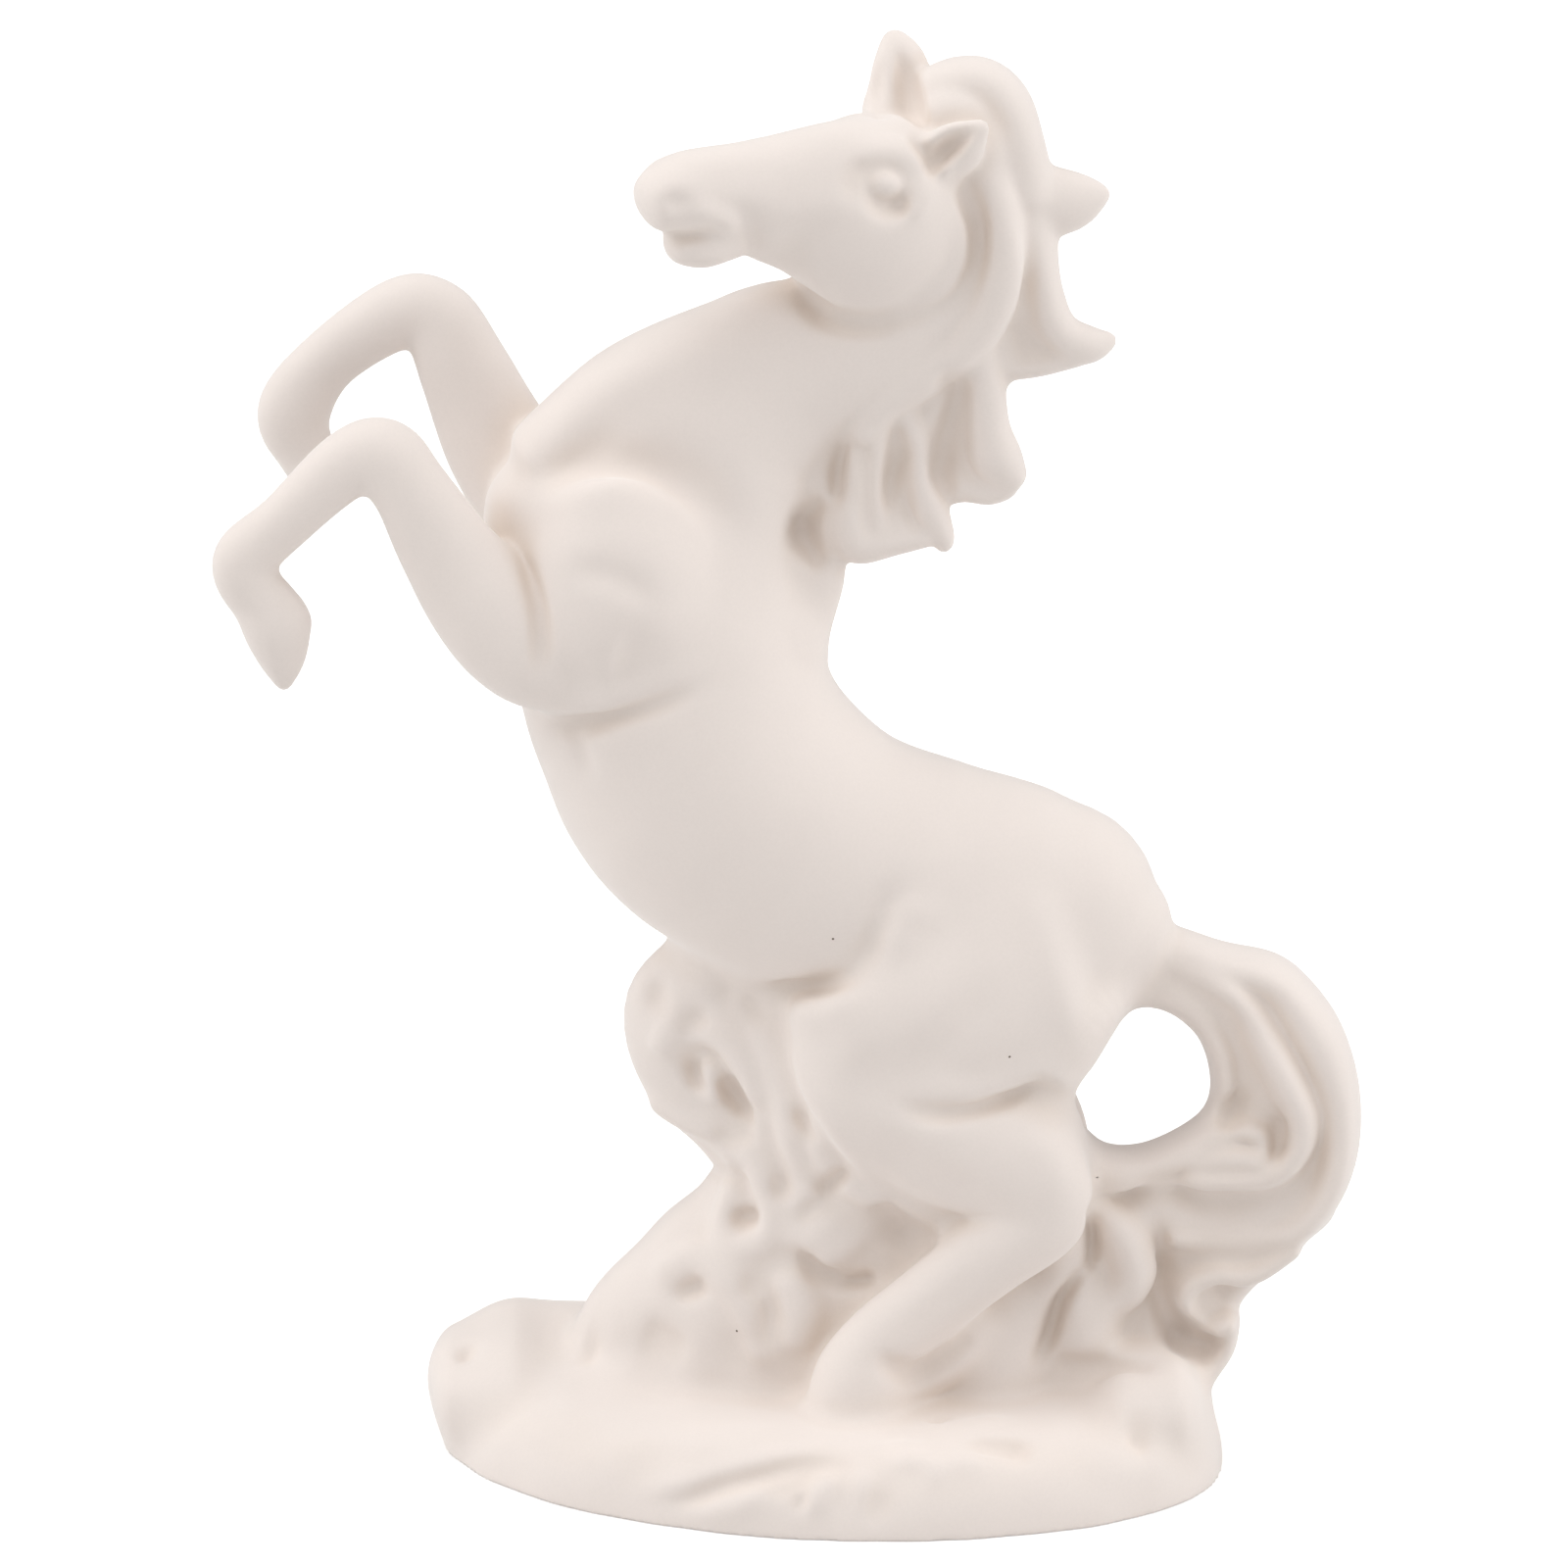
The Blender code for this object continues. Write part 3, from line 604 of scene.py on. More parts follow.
# %% Hanging locks
HANGING_LOCKS = {
    "hanging": [
        (996, 345, -0.5, 2.4, 4.0), (1004, 395, -0.8, 2.7, 3.4), (1009, 435, -0.8, 2.8, 3.4),
        (1018, 468, -0.6, 3.4, 3.6), (1034, 488, 0.0, 2.2, 2.6),
    ],
    "hanging_web": [(975, 395, 2.5, 2.6, 3.0), (980, 440, 2.5, 3.2, 3.0), (988, 480, 2.2, 2.6, 2.8)],
    "tip_web": [(1034, 316, 1.2, 3.0, 3.0), (1052, 350, 0.8, 2.8, 3.0), (1066, 366, 0.8, 2.0, 2.8)],
    "foot_web": [(942, 462, 0.6, 2.6, 3.0), (954, 488, 0.6, 2.8, 2.8), (978, 500, 0.4, 1.9, 2.6)],
    "hanging_foot": [
        (966, 478, 1.8, 2.0, 2.8), (985, 492, 1.2, 2.3, 3.0), (1010, 499, 0.6, 2.2, 2.8),
        (1028, 494, 0.4, 1.9, 2.4),
    ],
}
print("hanging locks and webs:", list(HANGING_LOCKS))

# %% [markdown]
# ## The drops
#
# Nearest to the withers three drops hang side by side, with deep pockets between them, and join at their
# feet. All the locks then go into the block as one casting.

# %% Drops
DROPS = {
    "drop_right": [
        (922, 418, -1.0, 2.2, 3.2), (937, 450, -1.2, 1.9, 3.0), (941, 490, -1.2, 1.9, 3.0),
        (950, 522, -1.2, 2.3, 3.0), (964, 550, -0.8, 1.5, 1.8), (962, 560, -0.6, 1.0, 1.2),
    ],
    "drop_middle": [
        (896, 425, -1.4, 2.2, 3.2), (894, 460, -1.8, 1.5, 3.2), (893, 500, -1.8, 1.4, 3.0),
        (896, 535, -1.4, 1.8, 2.8),
    ],
    "drop_left": [
        (872, 455, -1.2, 1.8, 3.4), (873, 490, -1.4, 1.7, 3.4), (868, 525, -1.4, 2.6, 3.4),
        (874, 550, -1.2, 3.2, 3.4), (910, 550, -0.8, 2.3, 3.2), (944, 545, -0.8, 1.8, 2.6),
    ],
    "pocket_lock": [(912, 515, 0.2, 1.8, 2.6), (919, 538, -0.4, 2.6, 3.0)],
}
locks = [rows for group in (CREST_LOCKS, BLOWN_TIPS, HANGING_LOCKS, DROPS) for rows in group.values()]
lute("mane", [form(drawn(rows)) for rows in locks], fillet=0.9, joint=1.0)

# %% [markdown]
# ## The forelegs
#
# Both forelegs are raised and folded at the knee. A leg is one track from the elbow to the hoof: the
# half sizes swell at the knee and at the fetlock and shrink at the cannon between them. The near hoof and
# its heel are forms of their own, because the pastern bends there more sharply than a track should.

# %% Forelegs
FORELEG_LEFT = [
    (-28.0, -8.0, 106.5, 2.05, 1.30), (-37.0, -11.0, 105.2, 1.74, 1.42), (-43.5, -12.0, 110.0, 1.56, 1.30),
    (-49.5, -12.6, 118.5, 1.26, 1.10), (-54.3, -13.0, 127.0, 1.02, 1.00),
    (-57.8, -13.0, 130.9, 1.06, 0.96), (-62.5, -13.0, 129.9, 0.90, 0.84),
    (-70.4, -13.0, 122.6, 0.76, 0.74), (-76.0, -13.0, 117.0, 0.84, 0.78),
    (-73.7, -13.0, 111.5, 0.80, 0.70), (-71.5, -13.0, 108.0, 0.76, 0.68),
]
HOOF_LEFT = [
    (272, 612, -13.0, 3.7, 3.4), (282, 640, -13.0, 4.5, 4.0), (288, 670, -13.0, 3.3, 3.2),
    (290, 700, -13.0, 1.0, 1.4),
]
HEEL_LEFT = [(296, 622, -13.0, 1.9, 2.6), (302, 634, -13.0, 2.0, 2.6)]
FORELEG_RIGHT = [
    (-28.0, 8.0, 110.0, 1.90, 1.20), (-36.0, 9.5, 117.0, 1.70, 1.26), (-43.0, 10.5, 127.0, 1.50, 1.12),
    (-47.8, 11.3, 137.0, 1.24, 1.00), (-51.4, 12.0, 144.0, 1.06, 0.96), (-56.5, 12.0, 145.0, 0.96, 0.86),
    (-66.0, 12.0, 138.8, 0.84, 0.76), (-70.8, 12.0, 131.8, 0.98, 0.84), (-69.4, 12.0, 126.4, 0.80, 0.70),
    (-67.4, 12.0, 123.2, 0.74, 0.80), (-66.4, 12.0, 121.0, 0.42, 0.58),
]
FORELEG_GIRTH = 5.0
near_foreleg = [form(FORELEG_LEFT, FORELEG_GIRTH, lift=DECK), form(drawn(HOOF_LEFT))]
near_foreleg.append(form(drawn(HEEL_LEFT), cap=1.0))
lute("foreleg_left", near_foreleg, fillet=1.0, joint=2.0)
lute("foreleg_right", [form(FORELEG_RIGHT, FORELEG_GIRTH, lift=DECK)], fillet=1.0, joint=2.0)

# %% [markdown]
# ## The hind legs
#
# The hind legs carry the horse. They run from the thigh back to the hock and forward to the plinth, where
# they end below its deck, so that the luting closes round them. The calf and a web of clay behind the hock
# make the near leg as deep as the mould needs.

# %% Hind legs
HIND_LEG_LEFT = [
    (5.0, -10.0, 55.5, 1.36, 1.02), (8.0, -11.2, 46.0, 1.52, 1.06), (17.5, -12.2, 38.6, 1.42, 0.98),
    (26.0, -13.0, 33.6, 1.18, 0.84), (28.4, -13.0, 28.0, 0.98, 0.74), (22.0, -13.0, 21.6, 0.80, 0.66),
    (14.0, -13.0, 15.2, 0.74, 0.63), (7.5, -13.0, 9.2, 0.76, 0.66), (4.6, -13.0, 3.6, 0.90, 0.80),
    (4.0, -13.0, -5.0, 0.98, 0.88),
]
CALF_LEFT = [(1020, 1082, -7.0, 8.0, 7.0), (1044, 1130, -8.0, 6.8, 6.0), (1060, 1195, -10.0, 5.2, 5.0)]
HOCK_WEB = [(1078, 1146, -5.0, 3.2, 5.0), (1088, 1190, -5.5, 3.6, 5.5), (1084, 1236, -6.0, 3.2, 5.5)]
HIND_LEG_RIGHT = [
    (9.0, 10.0, 53.5, 1.28, 1.00), (17.0, 11.0, 42.0, 1.50, 1.02), (26.5, 12.0, 33.0, 1.24, 0.90),
    (29.5, 12.4, 25.0, 0.98, 0.74), (26.5, 12.2, 17.0, 0.78, 0.68), (23.4, 11.6, 9.0, 0.74, 0.66),
    (21.4, 11.4, 3.0, 0.84, 0.78), (20.6, 11.4, -5.0, 0.92, 0.86),
]
HIND_LEG_GIRTH = 7.0
near_hind_leg = [form(HIND_LEG_LEFT, HIND_LEG_GIRTH, lift=DECK)]
near_hind_leg += [form(drawn(CALF_LEFT)), form(drawn(HOCK_WEB))]
lute("hind_leg_left", near_hind_leg, fillet=3.0, joint=3.0)
lute("hind_leg_right", [form(HIND_LEG_RIGHT, HIND_LEG_GIRTH, lift=DECK)], fillet=1.0, joint=2.0)

# %% [markdown]
# ## The body of the tail
#
# The tail leaves the rump, arches back and returns to the hocks, so that it leaves a round hole. From
# there it runs down to the plinth and helps to carry the statue. Three thick forms make its body.

# %% Tail body
TAIL_BODY = {
    "arc": [
        (1180, 985, 0.5, 4.4, 4.0), (1225, 1003, 0.5, 5.4, 4.4), (1268, 1025, 1.0, 7.0, 4.6),
        (1298, 1075, 1.5, 8.4, 5.0), (1310, 1135, 1.5, 9.0, 5.2), (1294, 1190, 1.0, 8.6, 5.2),
        (1240, 1222, 0.5, 7.4, 5.0), (1170, 1232, 0.5, 7.4, 5.0), (1115, 1240, 0.5, 7.4, 4.8),
    ],
    "foot": [
        (1115, 1250, 1.0, 7.0, 4.6), (1125, 1330, 1.0, 8.0, 4.6), (1135, 1400, 1.0, 9.0, 5.0),
        (1135, 1440, 1.0, 9.0, 5.0),
    ],
    "end": [
        (1330, 1215, 1.0, 5.6, 5.0), (1262, 1262, 1.0, 6.6, 5.0), (1215, 1315, 0.8, 6.6, 4.8),
        (1190, 1370, 0.4, 6.6, 4.8), (1184, 1430, 0.0, 6.0, 5.0),
    ],
}
print("forms in the body of the tail:", list(TAIL_BODY))

# %% [markdown]
# ## The strands of the tail
#
# Long rolls of clay lie on that body and follow its arc: the rim of the hole, an inner and an outer strand,
# and the curls below. A groove alone would look scratched in, while rolls that meet in small fillets have
# the round backs of combed hair.

# %% Tail strands
TAIL_STRANDS = {
    "loop_rim": [
        (1160, 1010, 0.0, 1.8, 3.6), (1205, 1020, 0.0, 1.9, 4.0), (1238, 1056, 0.2, 1.6, 4.4),
        (1248, 1100, 0.2, 1.5, 4.8), (1240, 1142, -0.4, 2.0, 5.2), (1207, 1170, -1.2, 2.2, 5.4),
        (1164, 1188, -1.6, 2.4, 5.4), (1120, 1186, -1.6, 2.6, 5.2), (1092, 1160, -0.6, 2.2, 4.6),
    ],
    "outer": [
        (1200, 968, 0.5, 2.8, 4.4), (1250, 983, 0.5, 2.6, 5.2), (1300, 998, 1.0, 2.9, 6.2),
        (1337, 1047, 1.2, 3.8, 7.2), (1360, 1105, 1.4, 3.5, 7.6), (1363, 1168, 1.2, 3.0, 7.6),
        (1344, 1220, 0.8, 2.8, 7.2), (1305, 1252, 0.4, 2.6, 6.8), (1250, 1256, 0.0, 2.3, 6.6),
        (1195, 1252, 0.0, 2.0, 6.2),
    ],
    "inner": [
        (1190, 975, -0.5, 1.8, 3.4), (1232, 996, -0.8, 1.8, 4.4), (1266, 1018, -1.0, 2.0, 5.0),
        (1287, 1054, -1.2, 2.7, 5.4), (1310, 1096, -1.8, 2.8, 6.0), (1327, 1136, -1.8, 2.7, 6.0),
        (1319, 1170, -1.6, 2.4, 6.0), (1290, 1192, -1.4, 2.2, 5.8), (1230, 1196, -1.4, 2.0, 5.6),
        (1168, 1198, -1.6, 1.9, 5.4), (1102, 1200, -1.6, 1.8, 5.0),
    ],
    "lining": [
        (1185, 1002, 0.0, 1.5, 3.6), (1222, 1028, 0.0, 1.6, 4.2), (1246, 1066, 0.2, 1.5, 4.6),
        (1254, 1105, 0.4, 1.3, 4.6),
    ],
    "lower_fill": [
        (1218, 1178, -1.2, 2.2, 5.2), (1256, 1174, -1.8, 2.2, 5.2), (1284, 1176, -1.8, 2.0, 5.2),
    ],
    "curl": [
        (1240, 1158, -2.0, 1.6, 3.6), (1262, 1148, -2.4, 1.6, 3.8), (1286, 1154, -2.4, 1.5, 3.8),
        (1290, 1172, -2.2, 1.4, 3.6),
    ],
    "ring": [
        (1318, 1268, -0.5, 1.5, 5.0), (1275, 1292, -0.8, 2.0, 5.4), (1238, 1292, -1.2, 1.9, 5.4),
        (1212, 1306, -1.6, 1.8, 5.2), (1208, 1332, -1.8, 1.8, 5.0), (1226, 1352, -1.8, 1.8, 5.0),
        (1252, 1344, -1.6, 1.8, 5.0),
    ],
    "rim": [
        (1252, 1345, -0.6, 1.6, 4.6), (1248, 1370, -0.8, 1.7, 4.6), (1228, 1394, -1.0, 1.9, 5.0),
        (1200, 1408, -1.6, 2.0, 5.0),
    ],
    "sweep": [
        (1096, 1216, -2.4, 2.4, 3.8), (1128, 1236, -2.8, 3.0, 4.4), (1152, 1268, -3.2, 3.4, 4.8),
        (1156, 1302, -3.2, 3.2, 4.6), (1134, 1324, -2.8, 2.4, 4.0), (1112, 1330, -2.4, 1.6, 3.4),
    ],
    "base_lock": [(1126, 1334, -2.2, 2.4, 4.2), (1112, 1360, -2.8, 3.4, 4.8), (1118, 1392, -3.0, 3.2, 4.8)],
}
tail_body = joined([form(drawn(rows)) for rows in TAIL_BODY.values()], 2.0)
tail_strands = joined([form(drawn(rows)) for rows in TAIL_STRANDS.values()], 1.2)
lute("tail", [tail_body, tail_strands], fillet=1.4, joint=2.0)

# %% [markdown]
# ## The scroll of rock
#
# The rock carries the belly. A scroll rises from the plinth, leans to the left and curls back under the
# barrel, a boulder fills the space between the hind legs, and a stem stands behind the scroll.

# %% Scroll and boulder
SCROLL = [
    (-10.0, 5.0, -5.0, 1.30, 0.72), (-9.2, 4.8, 4.0, 1.22, 0.66), (-7.8, 4.5, 13.0, 0.91, 0.58),
    (-6.4, 4.2, 22.0, 0.58, 0.48), (-5.8, 4.0, 29.5, 0.43, 0.42), (-9.4, 4.0, 36.5, 0.45, 0.40),
    (-14.9, 4.0, 44.5, 0.53, 0.40), (-17.8, 4.0, 51.0, 0.47, 0.38), (-15.4, 3.0, 57.0, 0.33, 0.34),
    (-11.0, 2.0, 63.0, 0.27, 0.28),
]
BOULDER = [
    (-8.0, 3.5, 8.0, 1.00, 0.75), (3.0, 2.0, 15.0, 1.30, 0.72), (12.0, 1.5, 12.0, 1.12, 0.66),
    (18.0, 2.0, 5.0, 0.72, 0.56), (26.0, 2.0, 0.0, 0.46, 0.46),
]
STEM = [
    (-7.0, 2.0, 59.0, 0.30, 0.26), (-4.5, 2.0, 46.0, 0.34, 0.30), (-1.5, 2.5, 34.0, 0.40, 0.34),
    (-1.0, 3.0, 20.0, 0.46, 0.38),
]
SCROLL_GIRTH, BOULDER_GIRTH = 20.0, 14.0
rock = [form(SCROLL, SCROLL_GIRTH, lift=DECK), form(BOULDER, BOULDER_GIRTH, lift=DECK)]
rock.append(form(STEM, SCROLL_GIRTH, lift=DECK))

# %% [markdown]
# ## Walls and banks
#
# Lower masses are drawn on the picture: walls behind and inside the hind legs, a heap at the heel, and two
# banks that run down from the scroll. They close the gaps that a mould can't part from.

# %% Walls and banks
BACK_WALL = [(1078, 1262, -3.6, 4.4, 5.0), (1086, 1320, -2.4, 5.6, 5.0), (1092, 1420, -2.0, 7.0, 5.0)]
INNER_WALL = [
    (1020, 1272, -2.0, 5.0, 5.0), (1018, 1335, -3.5, 7.0, 5.4), (1012, 1395, -5.0, 7.4, 5.4),
    (1010, 1440, -5.0, 7.4, 5.4),
]
HEEL_ROCK = [
    (890, 1420, -10.0, 2.6, 3.6), (935, 1400, -9.6, 3.4, 3.8), (966, 1376, -8.4, 3.8, 4.4),
    (994, 1346, -6.6, 3.2, 4.4),
]
BANK = [
    (728, 1004, 0.5, 3.3, 4.5), (768, 1062, -1.5, 4.0, 5.0), (806, 1125, -3.0, 4.4, 5.0),
    (850, 1180, -4.0, 4.6, 5.0), (905, 1228, -4.6, 4.4, 4.6), (950, 1256, -4.6, 3.0, 4.0),
]
INNER_BANK = [
    (780, 985, -0.5, 4.0, 4.6), (808, 1040, -2.5, 4.6, 5.0), (840, 1105, -4.4, 4.6, 5.0),
    (880, 1160, -5.6, 4.6, 4.6), (930, 1210, -6.4, 4.4, 4.4), (985, 1245, -6.4, 3.6, 4.0),
]
for table in (BACK_WALL, INNER_WALL, HEEL_ROCK, BANK, INNER_BANK):
    rock.append(form(drawn(table)))
lute("rock_support", rock, fillet=3.0, joint=4.0)

# %% [markdown]
# ## The ground on the plinth
#
# The plinth's top isn't flat. It has low mounds on a level deck, each a bell, which a hand has smoothed.

# %% The ground
MOUNDS = [(-48.0, 14.0, 4.8, 9.0), (-38.0, 14.0, 2.8, 12.0), (-24.0, 9.0, 6.0, 13.0), (42.0, 2.0, 2.5, 12.0)]


def ground(x, y):
    """Height of the plinth's top: the deck and its mounds, each a bell."""
    z = DECK + 0 * (x + y)
    for mound_x, mound_y, height, reach in MOUNDS:
        z = z + height * np.exp(-((x - mound_x) ** 2 + (y - mound_y) ** 2) / reach**2)
    return z


print("highest ground:", round(float(max(ground(x, y) for x, y, *_ in MOUNDS)), 1), "mm")

# %% [markdown]
# ## The plinth
#
# In plan the plinth is nearly an ellipse, turned a little against the picture. A superellipse,
# |x/a|^n + |y/b|^n = 1, gives its fullness with one number. The upper edge is as round as a loaf's, and
# two lobes swell out at its ends.

# %% The plinth
PLINTH_LENGTH, PLINTH_DEPTH = 106.6, 68.6
PLINTH_MIDDLE = (1.3, 1.4)
PLINTH_TURN = math.radians(-9.0)
PLINTH_FULLNESS = 1.96
TOP_FILLET = 12.0


def plinth():
    """Distance to the plinth. In plan it is the superellipse's value less one, over its slope; above, it
    is the height over the ground; and a fillet joins the two."""
    cut = window((-PLINTH_LENGTH, -PLINTH_DEPTH, -MARGIN), (PLINTH_LENGTH, PLINTH_DEPTH, 3 * DECK))
    x, y, z = places(cut)
    out_x, out_y = x - PLINTH_MIDDLE[0], y - PLINTH_MIDDLE[1]
    along = out_x * math.cos(PLINTH_TURN) + out_y * math.sin(PLINTH_TURN)
    away = out_y * math.cos(PLINTH_TURN) - out_x * math.sin(PLINTH_TURN)
    u, v = np.abs(along) / (PLINTH_LENGTH / 2), np.abs(away) / (PLINTH_DEPTH / 2)
    n = PLINTH_FULLNESS
    q = np.maximum((u**n + v**n) ** (1 / n), 1e-3)
    slope = np.hypot(u ** (n - 1) / (PLINTH_LENGTH / 2), v ** (n - 1) / (PLINTH_DEPTH / 2)) * q ** (1 - n)
    round_wall = (q - 1) / np.maximum(slope, 1e-3)
    top = z - ground(x, y)
    return cut, -blend(-(round_wall + 0 * z), -top, TOP_FILLET).astype(np.float32)


LEFT_LOBE = [(-49.8, 8.0, 7.8, 7.4, 12.0), (-42.0, 8.0, 8.6, 8.4, 14.0)]
RIGHT_LOBE = [(47.0, -6.0, 11.6, 6.8, 12.0), (41.0, -6.0, 11.0, 6.8, 12.0)]
lute("plinth", [plinth(), form(LEFT_LOBE), form(RIGHT_LOBE)], fillet=4.0, joint=2.5)

# %% [markdown]
# ## The vent
#
# A closed casting would burst in the kiln, so the potter leaves a small hole in the underside. Nobody sees
# it on a shelf. It is carved like any other form, from below the ground up into the plinth.

# %% The vent
VENT_FOOT, VENT_RADIUS = (-9.0, 5.0), 2.6
vent = [(*VENT_FOOT, z, VENT_RADIUS, VENT_RADIUS) for z in (-DECK / 2, DECK / 2)]
carve([form(vent, side=(0.0, 1.0, 0.0))], 0.5)
print("vent:", 2 * VENT_RADIUS, "mm wide")

# %% [markdown]
# ## Hollows and rolls
#
# Where the tool has dug between the locks, the strands and the rock, the statue is darkest. Each hollow is
# a swelling form laid along the skin, with its radius across the view and its depth along it. `rope` adds
# the same form and doesn't cut it, and `draw` repeats a stroke on the far side.

# %% Hollows and rolls
DIG_DEPTH = 0.75


def dig(rows, fillet=2.2):
    """Carves a swelling form whose middle line lies on the skin. Rows are pixel column, pixel row, radius
    across the view and depth."""
    rows = np.asarray(rows, float)
    if len(rows) == 1:
        rows = rows[[0, 0]] + [(-1.0, 0.0, 0.0, 0.0), (1.0, 0.0, 0.0, 0.0)]
    size = rows[:, 2:] * (1.0, DIG_DEPTH)
    carve([form(np.hstack([touch(rows), size]), side=view_ahead, cap=1.0)], fillet)


def rope(rows, fillet=2.0):
    """Adds a swelling form whose middle line lies on the skin. Rows are pixel column, pixel row, radius
    across the view and height."""
    rows = np.asarray(rows, float)
    cut, field = form(np.hstack([touch(rows), rows[:, 2:]]), side=view_ahead, cap=1.0)
    clay[cut] = blend(clay[cut], field, fillet)


def draw(pixels, height, width, fade=0.35):
    """A stroke on the side that the photograph shows, and the same one on the far side, with y turned to
    minus y and pressed onto the clay."""
    near = touch(pixels)
    stroke(near, height, width, fade)
    stroke(press(near * (1.0, -1.0, 1.0), (0.0, -1.0, 0.0)), height, width, fade)

# %% [markdown]
# ## The cheek and the eye
#
# The face is drawn on the side that the photograph shows, and repeated on the other side of the head by
# reflecting it in its middle plane. First comes the groove round the cheek. The eye is a shallow socket
# with a ball of clay in it, and a ridge for each lid.

# %% Cheek and eye
head_middle = drawn([(860, 205, -4.8, 1.0, 1.0)])[0, :3]


def head_stroke(pixels, height, width, fade=0.35):
    """A stroke on both sides of the head: the far one goes back by twice its distance from the middle
    plane, and is pressed onto the clay."""
    near = touch(pixels)
    stroke(near, height, width, fade)
    far = near - 2 * ((near - head_middle) @ HEAD_SIDE)[:, None] * HEAD_SIDE
    stroke(press(far, -HEAD_SIDE), height, width, fade)


behind_cheek = [(984, 200, 0.8, 0.8), (994, 232, 0.9, 1.1), (992, 266, 0.9, 1.2), (972, 302, 0.9, 1.2)]
dig([*behind_cheek, (936, 322, 0.8, 1.0)], 2.4)
head_stroke([(936, 322), (890, 332), (850, 326), (824, 306)], -1.6, 1.7)
dig([(822, 306, 0.9, 1.8), (836, 318, 0.9, 1.6)])
head_stroke([(972, 200), (979, 235), (975, 272), (952, 300), (915, 316)], 0.9, 1.5)
dig([(905, 194, 3.2, 3.0)], 2.4)
head_stroke([(874, 210), (868, 192), (876, 174), (892, 163)], -0.9, 1.3)
head_stroke([(866, 166), (888, 154), (912, 151), (936, 160), (950, 180), (952, 204)], 0.9, 1.7)
rope([(898, 188, 2.0, 2.3), (905, 190, 2.0, 2.3)], 0.5)
stroke(touch([(919, 211)]), -1.2, 1.4)
head_stroke([(938, 180), (944, 194), (938, 212), (918, 226)], 0.9, 1.4)
print("middle of the head:", np.round(head_middle).tolist())

# %% [markdown]
# ## Nose and mouth
#
# Flat strokes leave the bone of the nose. The nostril and the mouth are short, narrow grooves, and a curved
# ridge behind them is the corner of the lips.

# %% Nose and mouth
head_stroke([(862, 214), (835, 216), (800, 216), (765, 212)], 0.5, 2.8)
head_stroke([(850, 230), (820, 245), (800, 262)], -0.5, 3.0)
head_stroke([(800, 178), (760, 180), (722, 184), (700, 192)], -0.3, 2.4)
head_stroke([(678, 205), (690, 208), (704, 206)], -0.9, 1.0, 0.3)
head_stroke([(672, 196), (686, 190), (704, 190)], 0.3, 1.5)
head_stroke([(674, 234), (692, 238), (712, 239), (726, 241)], -0.7, 0.9, 0.4)
head_stroke([(698, 218), (722, 219), (742, 228), (750, 243)], 1.5, 1.2)
head_stroke([(708, 250), (728, 252), (742, 250)], 0.5, 1.4)
head_stroke([(742, 210), (760, 224), (768, 246), (760, 260)], -0.7, 1.6)
print("the face is drawn")

# %% [markdown]
# ## The cups of the ears
#
# Both ears are scooped out from the front, deepest near the root, with a rim of clay left standing.

# %% Ear cups
dig([(950, 174, 0.9, 2.4), (962, 158, 1.9, 4.6), (977, 147, 1.7, 4.0), (992, 134, 0.7, 1.6)], 0.8)
dig([(940, 124, 1.0, 2.0), (930, 106, 1.9, 3.4), (926, 82, 1.5, 2.6), (919, 58, 0.7, 1.4)], 1.0)
dig([(897, 118, 0.9, 1.2), (894, 95, 1.0, 1.4), (897, 70, 0.6, 0.9)], 1.2)
dig([(934, 146, 0.7, 1.8), (944, 156, 1.0, 2.6), (950, 168, 0.7, 1.6)], 0.8)
rope([(964, 176, 0.7, 0.7), (976, 163, 0.8, 0.8), (990, 148, 0.5, 0.5)], 0.8)
print("the ears are cupped")

# %% [markdown]
# ## Muscles
#
# The trunk and the upper legs are modelled with a few broad strokes: the edge of the shoulder, the fold
# where the flank meets the thigh, the crease under the haunch and the long muscles of the second thigh.
# Each row is a line in picture points, a height and a width in millimetres.

# %% Muscles of the forehand
FOREHAND_STROKES = [
    # Throat and neck
    ([(880, 350), (800, 385), (730, 430), (690, 470)], -0.6, 5.0),
    ([(775, 335), (700, 352), (640, 385), (600, 425)], 0.4, 4.0),
    # Edge and ridge of the shoulder, and the shallow muscles on it
    ([(530, 488), (600, 478), (680, 484), (732, 522), (748, 580)], -1.5, 3.2),
    ([(650, 462), (690, 470), (730, 505)], -1.0, 5.0),
    ([(545, 517), (600, 505), (660, 506), (702, 532), (714, 562)], 1.0, 2.8),
    ([(575, 582), (620, 588), (650, 602), (672, 618)], -0.8, 2.0),
    ([(652, 632), (640, 670), (632, 712)], -0.7, 1.8),
    # Fold under the elbow, withers, and the crease between breast and foreleg
    ([(548, 744), (600, 737), (650, 723), (705, 702), (745, 682)], -2.3, 1.9),
    ([(562, 726), (618, 716), (680, 701), (728, 680)], 1.3, 2.2),
    ([(655, 668), (660, 676)], -0.6, 3.0),
    ([(588, 688), (592, 696)], -0.5, 3.0),
    ([(583, 744), (592, 762), (602, 795)], -0.9, 1.5),
    ([(826, 566), (832, 605), (838, 645)], -0.9, 3.0),
    ([(526, 552), (540, 584), (549, 620), (551, 660), (548, 712)], -1.7, 1.4),
]
for pixels, height, width in FOREHAND_STROKES:
    draw(pixels, height, width)
print("strokes on the forehand:", len(FOREHAND_STROKES))

# %% [markdown]
# The hindquarters have the deepest folds, because the horse sits on its haunches.

